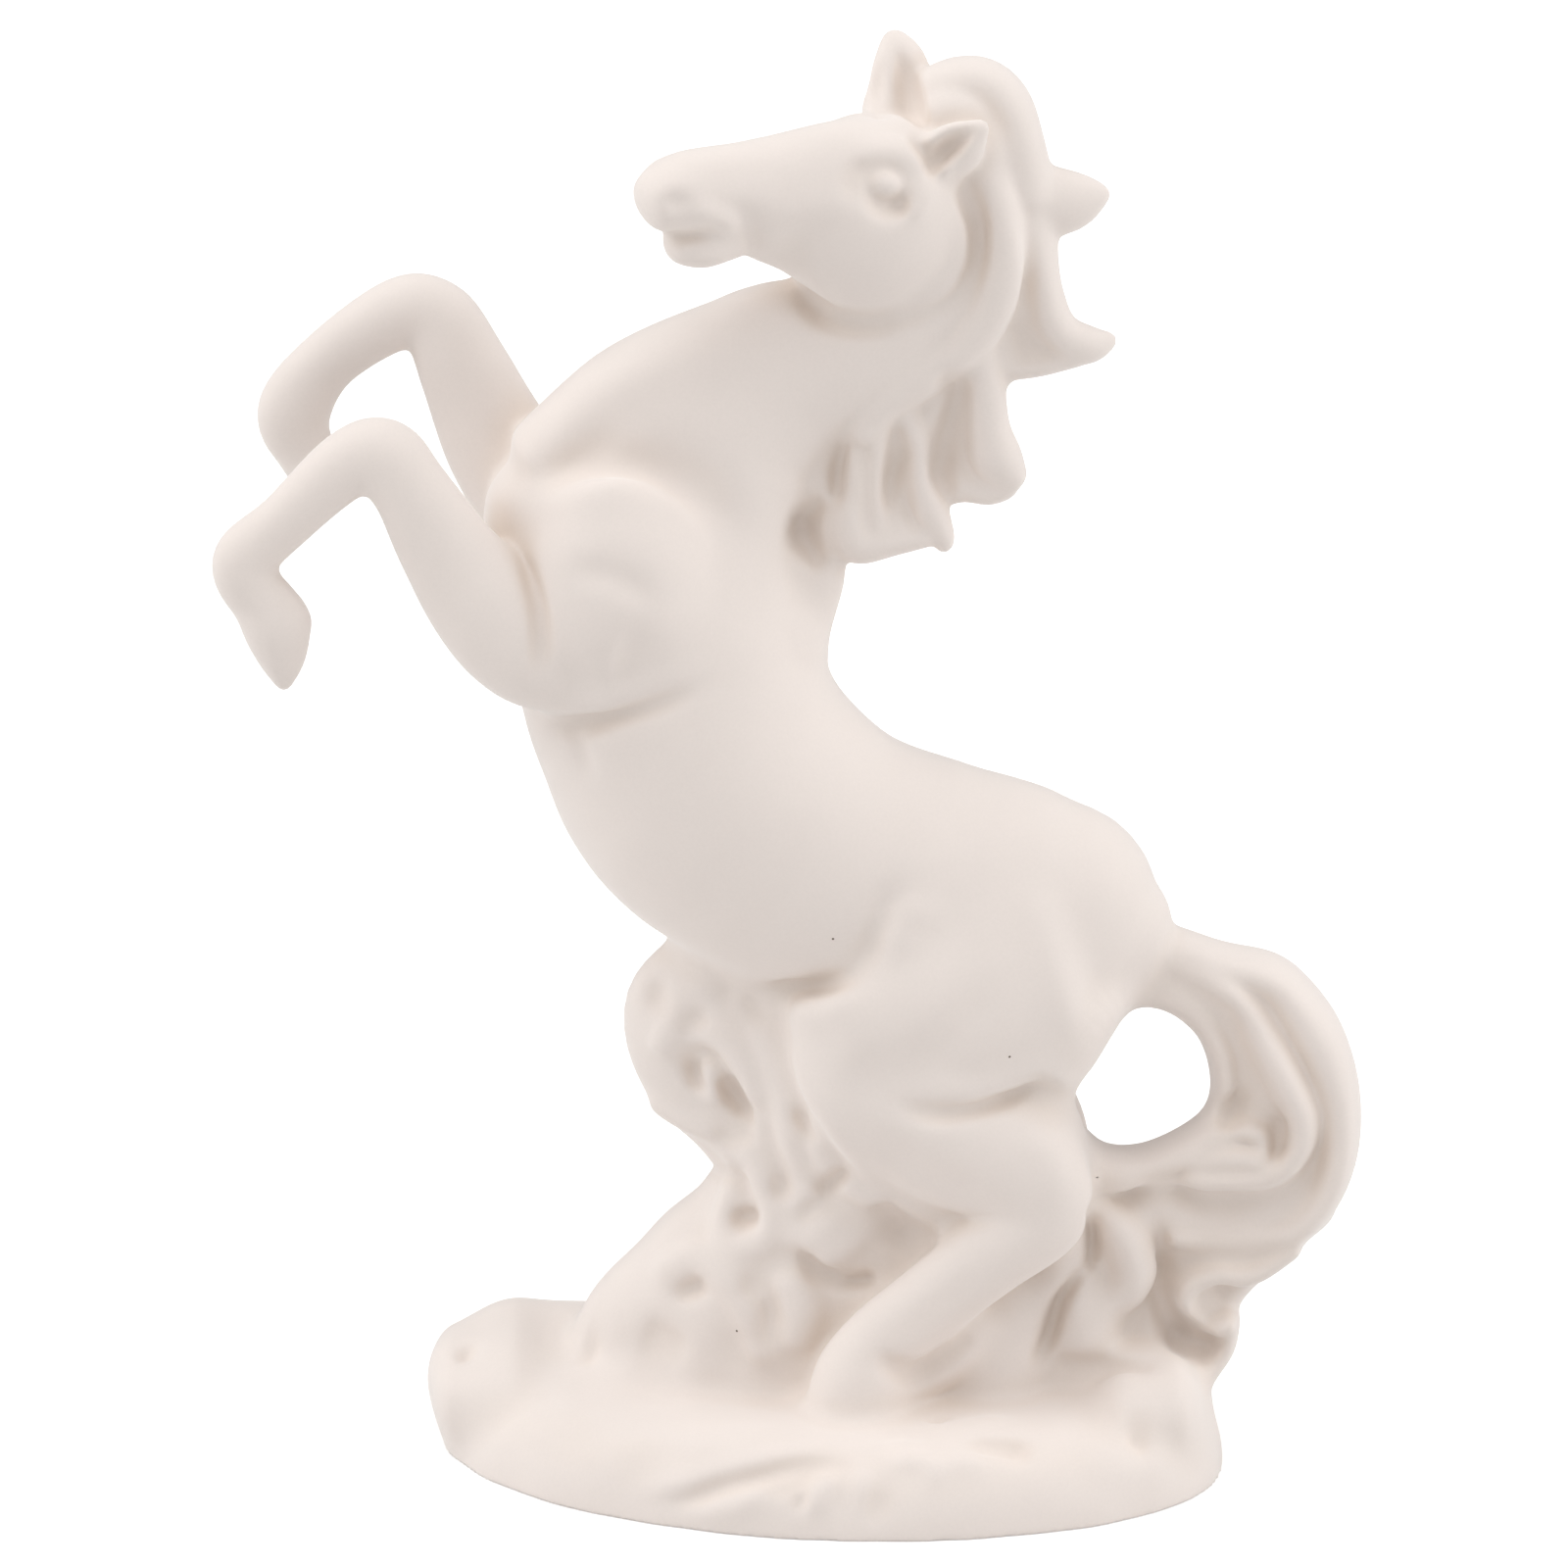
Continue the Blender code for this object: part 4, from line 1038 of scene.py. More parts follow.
# %% Muscles of the hindquarters
HINDQUARTER_STROKES = [
    # Fold of the flank and the stifle
    ([(770, 1008), (815, 1008), (858, 1001), (880, 985)], -1.9, 1.7),
    ([(868, 996), (886, 970), (895, 945), (908, 920), (938, 908)], -1.1, 2.2),
    ([(905, 985), (918, 955), (930, 934), (958, 926)], 1.2, 2.4),
    ([(800, 1030), (840, 1030), (880, 1018)], 0.8, 2.4),
    # Crease under the haunch, and the muscles above it
    ([(900, 1116), (925, 1132), (960, 1136), (1004, 1129), (1044, 1113), (1080, 1092)], -1.9, 1.5),
    ([(935, 1105), (985, 1113), (1040, 1098), (1085, 1070)], 0.8, 2.0),
    ([(925, 1112), (945, 1085), (975, 1055), (1000, 1020), (1008, 990)], -0.8, 3.0),
    ([(870, 1090), (890, 1100), (915, 1105)], -0.8, 4.0),
    # Second thigh, hock and cannon
    ([(800, 1045), (815, 1090), (850, 1150), (900, 1212), (960, 1245)], 0.8, 1.8),
    ([(885, 1150), (930, 1192), (980, 1218), (1020, 1248)], -0.9, 3.0),
    ([(1050, 1150), (1075, 1190), (1085, 1230)], 0.6, 3.0),
    ([(1030, 1278), (960, 1332), (885, 1398)], -0.4, 1.8),
]
for pixels, height, width in HINDQUARTER_STROKES:
    draw(pixels, height, width)
print("strokes on the hindquarters:", len(HINDQUARTER_STROKES))

# %% [markdown]
# ## Pockets and strands of the mane
#
# The locks already have creases between them. The deep pockets under the crest and between the drops are
# dug out, and long shallow strokes part the crest into strands.

# %% Mane pockets
dig([(861, 460, 0.5, 1.8), (854, 484, 0.9, 3.0), (855, 504, 0.6, 2.2)], 1.6)
dig([(917, 464, 0.8, 1.8), (912, 484, 1.1, 2.8), (909, 508, 0.8, 1.8)], 1.8)
dig([(978, 400, 0.9, 2.0), (968, 440, 1.5, 3.2), (960, 478, 1.5, 3.0), (966, 498, 0.8, 1.6)])
dig([(832, 516, 1.0, 3.0), (819, 541, 2.2, 6.4), (834, 570, 1.4, 3.4)])
dig([(1042, 336, 0.8, 1.4), (1049, 352, 1.3, 2.0), (1062, 360, 0.9, 1.4)])
dig([(968, 388, 0.9, 1.4)])
MANE_STROKES = [
    ([(1000, 190), (1004, 225), (1000, 265), (985, 305)], -0.5, 1.4),
    ([(1028, 200), (1046, 240), (1046, 290), (1036, 330)], -0.7, 1.6),
    ([(1000, 110), (1020, 150), (1030, 195)], -0.4, 2.4),
    ([(960, 360), (920, 385), (890, 405)], 0.3, 1.6),
]
for pixels, height, width in MANE_STROKES:
    draw(pixels, height, width)
print("strokes on the mane:", len(MANE_STROKES))

# %% [markdown]
# ## Pockets and strands of the tail
#
# Grooves run with the strands, and pits open between the curls, where the modelling tool went in deepest.

# %% Tail pockets
TAIL_STROKES = [
    ([(1116, 1219), (1148, 1223), (1182, 1216), (1228, 1227), (1276, 1227), (1316, 1214)], -1.5, 1.9),
    ([(1195, 1272), (1215, 1266), (1253, 1274), (1296, 1276), (1330, 1264)], -1.4, 1.3),
    ([(1248, 1312), (1247, 1324)], -1.4, 1.4),
    ([(1176, 1242), (1186, 1264), (1187, 1300), (1180, 1330)], -0.9, 1.5),
    ([(1215, 985), (1250, 1006), (1272, 1034)], 0.5, 1.2),
]
for pixels, height, width in TAIL_STROKES:
    draw(pixels, height, width)
dig([(1262, 1120, 0.7, 1.4), (1253, 1138, 1.4, 2.6)])
dig([(1308, 1146, 0.6, 1.2), (1306, 1172, 0.7, 1.4)])
dig([(1112, 1236, 0.6, 1.6), (1115, 1264, 0.8, 3.4), (1112, 1290, 0.7, 2.8)], 1.2)
dig([(1098, 1302, 0.7, 2.4), (1082, 1328, 1.1, 4.2), (1072, 1358, 1.2, 4.0), (1062, 1384, 0.8, 1.8)], 1.4)
dig([(1182, 1318, 1.0, 2.2), (1192, 1344, 1.8, 4.6), (1208, 1366, 2.5, 7.0), (1229, 1370, 1.4, 3.6)], 1.8)
dig([(1090, 1392, 1.0, 1.6), (1130, 1396, 1.0, 1.8), (1165, 1394, 0.8, 1.4)])
print("strokes on the tail:", len(TAIL_STROKES))

# %% [markdown]
# ## Foam on the rock
#
# The rock is modelled like surf: a scroll rolls up under the belly, and its foam runs down in ropes. Each
# rope is a roll of clay laid on the skin.

# %% Foam ropes
FOAM = [
    [
        (678, 1066, 1.4, 0.9), (690, 1050, 1.6, 1.0), (714, 1050, 1.6, 1.2), (742, 1062, 1.8, 1.4),
        (762, 1086, 1.7, 1.3), (774, 1116, 1.3, 0.9),
    ],
    [(722, 1082, 0.8, 0.8), (726, 1098, 1.1, 1.3), (732, 1116, 0.8, 1.0)],
    [
        (760, 1022, 1.2, 0.9), (788, 1066, 1.6, 1.1), (804, 1112, 1.7, 1.2), (808, 1155, 1.6, 1.3),
        (818, 1196, 1.4, 1.2), (806, 1236, 1.2, 1.0),
    ],
    [(672, 1128, 0.8, 0.8), (704, 1146, 1.0, 1.0), (732, 1158, 1.0, 1.0), (752, 1180, 1.0, 1.0)],
    [(778, 1140, 1.2, 0.7), (786, 1170, 1.5, 1.0), (790, 1206, 1.3, 0.8)],
    [(836, 1150, 1.2, 0.9), (846, 1180, 1.4, 1.1), (868, 1206, 1.4, 1.1), (892, 1222, 1.2, 0.9)],
    [
        (768, 1176, 1.4, 1.1), (780, 1205, 1.5, 1.2), (790, 1240, 1.4, 1.2), (778, 1268, 1.4, 1.2),
        (748, 1272, 1.4, 1.2), (738, 1246, 1.3, 1.1), (748, 1214, 1.2, 1.0),
    ],
    [(828, 1216, 1.3, 1.2), (820, 1240, 1.3, 1.2), (812, 1262, 1.2, 1.0)],
    [(846, 1254, 4.6, 2.6), (858, 1268, 4.2, 2.2)],
    [(808, 1312, 2.2, 1.5), (814, 1336, 3.0, 2.0), (806, 1362, 2.4, 1.4)],
    [
        (682, 1296, 1.6, 1.1), (716, 1284, 2.0, 1.4), (744, 1304, 2.0, 1.5), (766, 1336, 2.0, 1.4),
        (778, 1378, 1.8, 1.2),
    ],
]
for rows in FOAM:
    rope(rows, 2.6)
print("ropes of foam:", len(FOAM))

# %% [markdown]
# ## Grooves and finger holes
#
# Between the ropes the modeller has drawn grooves and pushed a finger or a stick into the clay.

# %% Grooves and holes
ROCK_STROKES = [
    ([(694, 1057), (706, 1044), (724, 1038)], -1.0, 1.4),
    ([(756, 1016), (768, 1032), (774, 1048)], -0.7, 1.6),
    ([(702, 1112), (702, 1092), (712, 1078), (728, 1076), (742, 1088)], -0.9, 1.2),
    ([(812, 1270), (830, 1296), (856, 1306), (882, 1306)], -1.8, 1.5),
    ([(784, 1322), (786, 1350), (780, 1388)], -1.2, 2.2),
    ([(835, 1222), (812, 1250)], -0.9, 1.0),
    ([(690, 1340), (660, 1365), (620, 1380)], -0.6, 2.6),
    ([(650, 1392), (680, 1384), (710, 1392)], -0.5, 2.4),
    ([(660, 1290), (680, 1262), (706, 1240)], 0.6, 3.0),
    ([(735, 1362), (750, 1385), (745, 1405)], -0.6, 3.4),
]
for pixels, height, width in ROCK_STROKES:
    draw(pixels, height, width)
dig([(670, 1013, 1.1, 1.0)], 3.0)
dig([(709, 1087, 0.9, 2.2), (711, 1104, 1.0, 2.6)], 1.4)
dig([(743, 1108, 1.2, 2.6), (754, 1124, 1.4, 3.0), (764, 1138, 0.8, 1.2)], 1.4)
dig([(738, 1162, 0.7, 1.0)])
dig([(817, 1138, 0.6, 1.6), (828, 1158, 0.7, 1.6)], 1.4)
dig([(841, 1212, 0.9, 2.4), (856, 1200, 1.0, 2.6)], 1.4)
dig([(757, 1243, 1.1, 2.6), (767, 1241, 1.1, 2.6)], 1.5)
dig([(795, 1212, 0.8, 0.8)])
dig([(699, 1319, 0.9, 1.8), (711, 1314, 1.1, 2.2)], 1.6)
dig([(766, 1314, 0.8, 0.9)])
dig([(866, 1308, 0.8, 2.2), (884, 1305, 1.0, 3.0)], 1.4)
dig([(905, 1240, 1.6, 2.2), (922, 1258, 2.4, 3.6), (942, 1262, 1.4, 2.4)], 2.4)
dig([(905, 1392, 0.8, 1.0), (936, 1400, 1.4, 2.0), (962, 1388, 1.4, 1.8), (982, 1372, 0.8, 1.0)], 2.4)
print("grooves in the rock:", len(ROCK_STROKES))

# %% [markdown]
# ## The front of the plinth
#
# Blunt strokes leave a swirl in the front of the plinth, and soft dents here and there on its top.

# %% Plinth front
SWIRL = [
    (655, 1536), (700, 1528), (740, 1514), (780, 1504), (815, 1496), (850, 1494), (868, 1502),
    (870, 1518),
]
PLINTH_STROKES = [
    (SWIRL, -1.4, 1.5),
    ([(770, 1527), (800, 1520), (818, 1510), (836, 1504)], -1.0, 1.2),
    ([(640, 1522), (700, 1515), (750, 1502), (800, 1489), (850, 1480)], 0.8, 1.8),
    ([(690, 1548), (740, 1540), (790, 1524), (835, 1508)], 0.8, 1.6),
    ([(812, 1540), (824, 1525)], -0.9, 1.0),
    ([(832, 1544), (838, 1524), (852, 1509)], 1.0, 1.3),
    ([(876, 1496), (884, 1522), (905, 1536)], 0.6, 1.8),
    ([(600, 1482), (680, 1466), (760, 1468), (820, 1452)], 0.5, 3.2),
    ([(905, 1502), (930, 1490), (955, 1502), (940, 1516)], 0.9, 1.5),
    ([(965, 1500), (985, 1492), (1002, 1502)], 0.8, 1.5),
    ([(884, 1470), (925, 1462), (965, 1470)], -0.6, 2.0),
    ([(975, 1465), (1005, 1452), (1040, 1458)], 0.6, 2.2),
    ([(1100, 1480), (1150, 1500), (1200, 1480)], 0.5, 3.2),
    ([(560, 1410), (600, 1400), (650, 1412)], 0.5, 3.2),
]
for pixels, height, width in PLINTH_STROKES:
    stroke(touch(pixels), height, width)
dig([(1004, 1475, 0.8, 1.3), (1036, 1480, 1.2, 2.2)])
dig([(955, 1447, 0.8, 0.8)])
dig([(895, 1534, 1.4, 0.8)])
dig([(478, 1377, 1.8, 0.8)])
dig([(605, 1372, 1.6, 0.6)])
dig([(665, 1368, 1.6, 0.7), (690, 1376, 1.2, 0.6)])
dig([(1160, 1464, 1.6, 0.6)])
print("strokes on the plinth:", len(PLINTH_STROKES))

# %% [markdown]
# ## A damp sponge and an uneven hand
#
# Before firing, a damp sponge takes off the tool marks: the distances are averaged with their neighbours.
# A hand also leaves a slight waviness, here a few crossed sine waves, a twentieth of a millimetre high.
# The foot is cut last, flat and sharp, because the statue is set down on a level board.

# %% Sponge and hand
WAVE_LOW, WAVE_HIGH = 0.05, 0.02
WAVES = [
    (17.0, (0.8, 0.6, 0.1), 0.4),
    (11.0, (-0.5, 0.7, 0.5), 1.9),
    (13.0, (0.3, -0.6, 0.75), 3.1),
    (7.5, (0.9, 0.1, -0.4), 5.2),
    (8.5, (0.1, 0.95, 0.3), 2.2),
]
SPONGE_ROUNDS = 2
WAVE_FADE = 26.0


def softened(field, rounds):
    """The field blurred along each axis in turn: half of each value and a quarter of both neighbours."""
    for _ in range(rounds):
        for axis in range(3):
            whole = [slice(None)] * 3
            middle, left, right = ([*whole] for _ in range(3))
            middle[axis], left[axis], right[axis] = slice(1, -1), slice(0, -2), slice(2, None)
            copy = field.copy()
            field[tuple(middle)] = copy[tuple(middle)] * 0.5 + (copy[tuple(left)] + copy[tuple(right)]) * 0.25
    return field


def unevenness():
    """A hand's slight waviness: crossed sine waves along turned axes, strongest low on the statue."""
    x, y, z = places(tuple(slice(0, n) for n in block_shape))
    wave = np.zeros(block_shape, np.float32)
    for wave_length, (a, b, c), phase in WAVES:
        turn = np.float32(2 * math.pi / wave_length)
        wave += np.sin((a * x + b * y + c * z) * turn + np.float32(phase))
    low = np.exp(-((z / WAVE_FADE) ** 2))
    return wave * (np.float32(WAVE_HIGH) + np.float32(WAVE_LOW - WAVE_HIGH) * low)


clay = softened(clay, SPONGE_ROUNDS)
clay += unevenness()
clay = np.maximum(clay, -places(tuple(slice(0, n) for n in block_shape))[2])
print("clay in the block:", round(float((clay < 0).sum()) * PITCH**3 / 1000), "cubic centimetres")

# %% [markdown]
# ## Which casting each voxel is in
#
# Where two castings are blended, the nearer one owns a voxel, and the border can run in the skin like a
# flake. So the voxels near the skin take the owner that is found a little deeper, and every seam goes into
# the clay upright, as a luted joint does.

# %% Owners
SEAM_DEPTH = 2.0


def deep_owner():
    """Gives the voxels near the skin the owner found a little deeper, so that no casting thins out to a
    flake over another and every seam goes into the clay upright."""
    near = np.argwhere(np.abs(clay + 0.25 * PITCH) < 1.75 * PITCH)
    points = origin + PITCH * near
    depth = clay[tuple(near.T)] + SEAM_DEPTH * PITCH
    below = np.rint((points - unit(gradient(points)) * depth[:, None] - origin) / PITCH).astype(int)
    below = np.clip(below, 0, block_shape - 1)
    solid = clay[tuple(below.T)] < 0
    owner[tuple(near[solid].T)] = owner[tuple(below[solid].T)]


deep_owner()
print("voxels of each casting:", np.bincount(owner[clay < 0], minlength=len(castings) + 1)[1:].tolist())

# %% [markdown]
# ## Skinning the clay
#
# A cell is the space between eight voxels. Every cell whose corners aren't all in one casting, or all in
# the air, gets one point: the average of where its edges cross the surface. Marching cubes would need a
# table of 256 cases, and it can't hold the seams between castings.

# %% Points of the skin
EDGES = [(a, b) for a in range(8) for b in range(8) if a < b and np.abs(CORNERS[a] - CORNERS[b]).sum() == 1]


def skin_cells():
    """One point for each cell, and a box with each cell's number. The point is the average of where the
    cell's edges cross the surface, or of the middles of the edges that join two castings."""
    mark = np.where(clay < 0, owner, 0).astype(np.uint8)
    size = block_shape - 1
    lowest = np.full(size, 255, np.uint8)
    highest = np.zeros(size, np.uint8)
    for i, j, k in CORNERS:
        part = mark[i : i + size[0], j : j + size[1], k : k + size[2]]
        np.minimum(lowest, part, out=lowest)
        np.maximum(highest, part, out=highest)
    cells = np.argwhere(lowest != highest)
    number = np.full(size, -1, np.int32)
    number[tuple(cells.T)] = np.arange(len(cells))
    at = [tuple((cells + corner).T) for corner in CORNERS]
    distance = np.stack([clay[a] for a in at], 1)
    marks = np.stack([mark[a] for a in at], 1)
    outer_sum, outer_count = np.zeros((len(cells), 3)), np.zeros(len(cells))
    inner_sum, inner_count = np.zeros((len(cells), 3)), np.zeros(len(cells))
    for a, b in EDGES:
        run = CORNERS[b] - CORNERS[a]
        crosses = (marks[:, a] == 0) != (marks[:, b] == 0)
        t = np.where(crosses, distance[:, a] / np.where(crosses, distance[:, a] - distance[:, b], 1), 0)
        outer_sum += crosses[:, None] * (CORNERS[a] + t[:, None] * run)
        outer_count += crosses
        parts = (marks[:, a] != marks[:, b]) & ~crosses
        inner_sum += parts[:, None] * (CORNERS[a] + 0.5 * run)
        inner_count += parts
    outer = outer_count > 0
    count = np.where(outer, outer_count, inner_count)
    share = np.where(outer[:, None], outer_sum, inner_sum) / count[:, None]
    return origin + PITCH * (cells + share), outer, number, mark


skin, outer, number, mark = skin_cells()
print("points:", len(skin))

# %% [markdown]
# Every voxel edge that joins two owners gets one face, between its four cells. So each casting has a
# closed skin, and two castings that touch share the points of their seam, as luted clay does.

# %% Faces of the skin
def skin_faces(number, mark):
    """Four cells round every voxel edge whose ends have different owners, and the owners of the two ends."""
    faces, lower, upper = [], [], []
    for axis in range(3):
        one, two = [a for a in range(3) if a != axis]
        first = np.take(mark, np.arange(block_shape[axis] - 1), axis)
        second = np.take(mark, np.arange(1, block_shape[axis]), axis)
        edge = np.argwhere(first != second)
        edge = edge[((edge[:, [one, two]] > 0) & (edge[:, [one, two]] < block_shape[[one, two]] - 1)).all(1)]
        corner = []
        for back_one, back_two in ((1, 1), (0, 1), (0, 0), (1, 0)):
            cell = edge.copy()
            cell[:, one] -= back_one
            cell[:, two] -= back_two
            corner.append(number[tuple(cell.T)])
        quad = np.stack(corner, 1)
        faces.append(quad if axis != 1 else quad[:, ::-1])
        lower.append(first[tuple(edge.T)])
        upper.append(second[tuple(edge.T)])
    return np.concatenate(faces), np.concatenate(lower), np.concatenate(upper)


faces, lower, upper = skin_faces(number, mark)
open_air = (lower == 0) | (upper == 0)
flat = ~open_air & outer[faces].all(1)
print("faces:", len(faces))
print("seam faces in the skin:", int(flat.sum()))

# %% [markdown]
# ## Relaxing the skin
#
# A few faces of the seams lie in the skin itself and are closed. Then the points are averaged with their
# neighbours, which makes the triangles even, and slid back onto the surface. The seams inside the clay
# are relaxed more, and kept under the skin.

# %% Even triangles
UNDER_SKIN = 1.0


def relaxed(points, faces, movable, rounds, share):
    """Each movable point goes part of the way to the average of its neighbours."""
    start = faces.ravel()
    end = np.roll(faces, -1, axis=1).ravel()
    count = np.bincount(start, minlength=len(points)) + np.bincount(end, minlength=len(points))
    for _ in range(rounds):
        size = len(points)
        one_way = np.stack([np.bincount(start, points[end, a], size) for a in range(3)], 1)
        other_way = np.stack([np.bincount(end, points[start, a], size) for a in range(3)], 1)
        middle = (one_way + other_way) / np.maximum(count, 1)[:, None]
        points = np.where(movable[:, None], points + share * (middle - points), points)
    return points


def welded(points, faces, flat, rounds=4):
    """Closes the seam faces that lie in the skin: the two nearer opposite corners become one point."""
    root = np.arange(len(points))
    for _ in range(rounds):
        quads = root[faces[flat]]
        first = np.linalg.norm(points[quads[:, 0]] - points[quads[:, 2]], axis=1)
        second = np.linalg.norm(points[quads[:, 1]] - points[quads[:, 3]], axis=1)
        pair = np.where((first <= second)[:, None], quads[:, [0, 2]], quads[:, [1, 3]])
        pair = pair[(first > 0) & (second > 0)]
        pair.sort(axis=1)
        turn = np.full(len(points), len(pair))
        np.minimum.at(turn, pair[:, 0], np.arange(len(pair)))
        np.minimum.at(turn, pair[:, 1], np.arange(len(pair)))
        alone = (turn[pair[:, 0]] == np.arange(len(pair))) & (turn[pair[:, 1]] == np.arange(len(pair)))
        low, high = pair[alone].T
        points[low] = (points[low] + points[high]) / 2
        root[high] = low
        root = root[root]
    return points, root[faces]


skin, faces = welded(skin, faces, flat)
skin = relaxed(skin, faces[open_air], outer, rounds=2, share=0.5)
skin = np.where(outer[:, None], settle(skin), skin)
skin = relaxed(skin, faces[~open_air], ~outer, rounds=8, share=0.5)
too_high = np.maximum(sample(skin) + UNDER_SKIN * PITCH, 0) * ~outer
skin = skin - too_high[:, None] * gradient(skin)
print("points:", len(skin), "faces:", len(faces))

# %% [markdown]
# ## How deep each point lies
#
# Shade gathers in the creases, and the material paints it into the colour. How hollow the clay is round a
# point can be measured: walking out along the normal, open air gets further away, while in a crease the other
# wall comes near. The average over three steps is kept on the mesh as an attribute, which the material
# reads as the mask of its painted shade.

# %% Crevices, the mask of the painted shade
HOLLOW_REACHES = (2.0, 4.0, 6.0)
normals = unit(gradient(skin))
hollow = sum(np.clip(1 - sample(skin + normals * reach) / reach, 0, 1) for reach in HOLLOW_REACHES) / 3
print("mean hollowness:", round(float(hollow.mean()), 3))

# %% [markdown]
# ## The castings as meshes
#
# Each casting takes the faces that it owns on either side, turned outward, and becomes one closed mesh.
# `foreach_set` puts whole arrays into it. The normals come from the clay, so that the light runs over a
# seam without a step, as it does where a wet finger has closed a joint.

# %% Casting meshes
def casting_mesh(index, name):
    """The closed skin of one casting, with the clay's own normals where it meets the air."""
    low_side, high_side = lower == index, upper == index
    quads = np.concatenate([faces[low_side], faces[high_side][:, [0, 3, 2, 1]]])
    # A seam face is cut from a corner inside the clay, so that no half of it lies in the skin
    on_skin = outer[quads].astype(int)
    inward = on_skin[:, 0] + on_skin[:, 2] > on_skin[:, 1] + on_skin[:, 3]
    quads[inward] = np.roll(quads[inward], 1, axis=1)
    triangles = np.concatenate([quads[:, :3], quads[:, [0, 2, 3]]])
    a, b, c = triangles.T
    triangles = triangles[(a != b) & (b != c) & (c != a)]
    used, local = np.unique(triangles, return_inverse=True)
    local = local.reshape(triangles.shape)
    mesh = bpy.data.meshes.new(name)
    mesh.vertices.add(len(used))
    mesh.vertices.foreach_set("co", (skin[used] * MM).astype(np.float32).ravel())
    mesh.loops.add(local.size)
    mesh.loops.foreach_set("vertex_index", local.ravel().astype(np.int32))
    mesh.polygons.add(len(local))
    mesh.polygons.foreach_set("loop_start", np.arange(0, local.size, 3, dtype=np.int32))
    mesh.update(calc_edges=True)
    mesh.shade_smooth()
    shade = np.where(outer[used][:, None], normals[used], 0.0)
    mesh.normals_split_custom_set_from_vertices(shade)
    # How hollow each point is, kept as the mask for the painted shade in the creases
    painted_shade_mask = mesh.attributes.new("painted_shade_mask", "FLOAT", "POINT")
    painted_shade_mask.data.foreach_set("value", hollow[used].astype(np.float32))
    thing = bpy.data.objects.new(f"{name}_bisque", mesh)
    bpy.context.scene.collection.objects.link(thing)
    print(name, len(used), "points", len(local), "triangles")
    return thing


statue = {name: casting_mesh(index + 1, name) for index, name in enumerate(castings)}

# %% [markdown]
# ## Helpers for the finish
#
# A material is a tree of nodes. Three helpers keep the trees short: a node with its values and links, a
# value carried to another range, and two colours mixed.

# %% Node helpers
def node(tree, kind, inputs=None, **settings):
    """A new node with its settings and socket values; a value that is a socket becomes a link."""
    made = tree.nodes.new(kind)
    for key, value in settings.items():
        setattr(made, key, value)
    for key, value in (inputs or {}).items():
        if isinstance(value, bpy.types.NodeSocket):
            tree.links.new(value, made.inputs[key])
        else:
            made.inputs[key].default_value = value
    return made


def scaled(tree, value, low, high, new_low, new_high):
    """A value carried from one range to another and held inside it."""
    sockets = {"Value": value, "From Min": low, "From Max": high, "To Min": new_low, "To Max": new_high}
    return node(tree, "ShaderNodeMapRange", sockets).outputs["Result"]


def mixed(tree, factor, first, second):
    """Two colours mixed: the factor is the second one's share."""
    made = node(tree, "ShaderNodeMix", {"Factor": factor}, data_type="RGBA")
    colour_inputs = [s for s in made.inputs if s.type == "RGBA"]
    for socket, value in zip(colour_inputs, (first, second)):
        if isinstance(value, bpy.types.NodeSocket):
            tree.links.new(value, socket)
        else:
            socket.default_value = value
    return next(s for s in made.outputs if s.type == "RGBA")


def noise(tree, place, scale, detail):
    """Soft noise on coordinates in metres: the larger the scale, the finer the grain."""
    made = node(tree, "ShaderNodeTexNoise", {"Vector": place, "Scale": scale, "Detail": detail})
    return made.outputs["Fac"]

# %% [markdown]
# ## Bisque
#
# Unglazed white bisque: a warm white, quite matte, with a grain finer than sand and a faint cloudiness.
# The creases get a browner tone, which is painted shade: the colour follows how deep each point lies
# between its neighbours. A few kiln specks are smaller than a pinhead. A painted texture could hold all
# that, but noise on the object's own coordinates stays sharp from near by.

# %% The bisque
BISQUE_WHITE = (0.81, 0.745, 0.708, 1.0)
# The colour of the painted shade in the creases
CREASE_PAINTED_SHADE = (0.76, 0.672, 0.604, 1.0)
BISQUE_SPECK = (0.10, 0.06, 0.04, 1.0)
CLOUD_SCALE, DIMPLE_SCALE, GRAIN_SCALE = 45.0, 420.0, 2600.0
# Colour and roughness vary between these shares, from the lower to the upper part of the noise
NOISE_LOW, NOISE_HIGH = 0.25, 0.75
CLOUD_TONE, GRAIN_TONE, GRAIN_ROUGH = (0.975, 1.02), (0.985, 1.012), (0.80, 0.92)
SHALLOW, GRAIN_SHARE = 0.15, 0.25
KILN_SPECKS, SPECK_RADIUS = [(850, 958), (1030, 1078), (752, 1358)], 0.2 * MM

finish = bpy.data.node_groups.new("bisque_finish", "ShaderNodeTree")
finish.interface.new_socket("Base Color", in_out="OUTPUT", socket_type="NodeSocketColor")
finish.interface.new_socket("Roughness", in_out="OUTPUT", socket_type="NodeSocketFloat")
finish.interface.new_socket("Bump Height", in_out="OUTPUT", socket_type="NodeSocketFloat")

place = node(finish, "ShaderNodeTexCoord").outputs["Object"]
cloud = noise(finish, place, CLOUD_SCALE, 3.0)
grain = noise(finish, place, GRAIN_SCALE, 2.0)
dimple = noise(finish, place, DIMPLE_SCALE, 2.0)
# Painted shade: the colour turns browner where the clay is hollow, standing in for the shade in the creases
crease = node(finish, "ShaderNodeAttribute", attribute_name="painted_shade_mask").outputs["Fac"]
deep = scaled(finish, crease, SHALLOW, 1.0, 0.0, 1.0)
body = mixed(finish, deep, BISQUE_WHITE, CREASE_PAINTED_SHADE)
shade = scaled(finish, cloud, NOISE_LOW, NOISE_HIGH, *CLOUD_TONE)
fleck = scaled(finish, grain, NOISE_LOW, NOISE_HIGH, *GRAIN_TONE)
tone = node(finish, "ShaderNodeMath", {0: shade, 1: fleck}, operation="MULTIPLY").outputs[0]
colour = node(finish, "ShaderNodeVectorMath", {0: body, "Scale": tone}, operation="SCALE").outputs["Vector"]
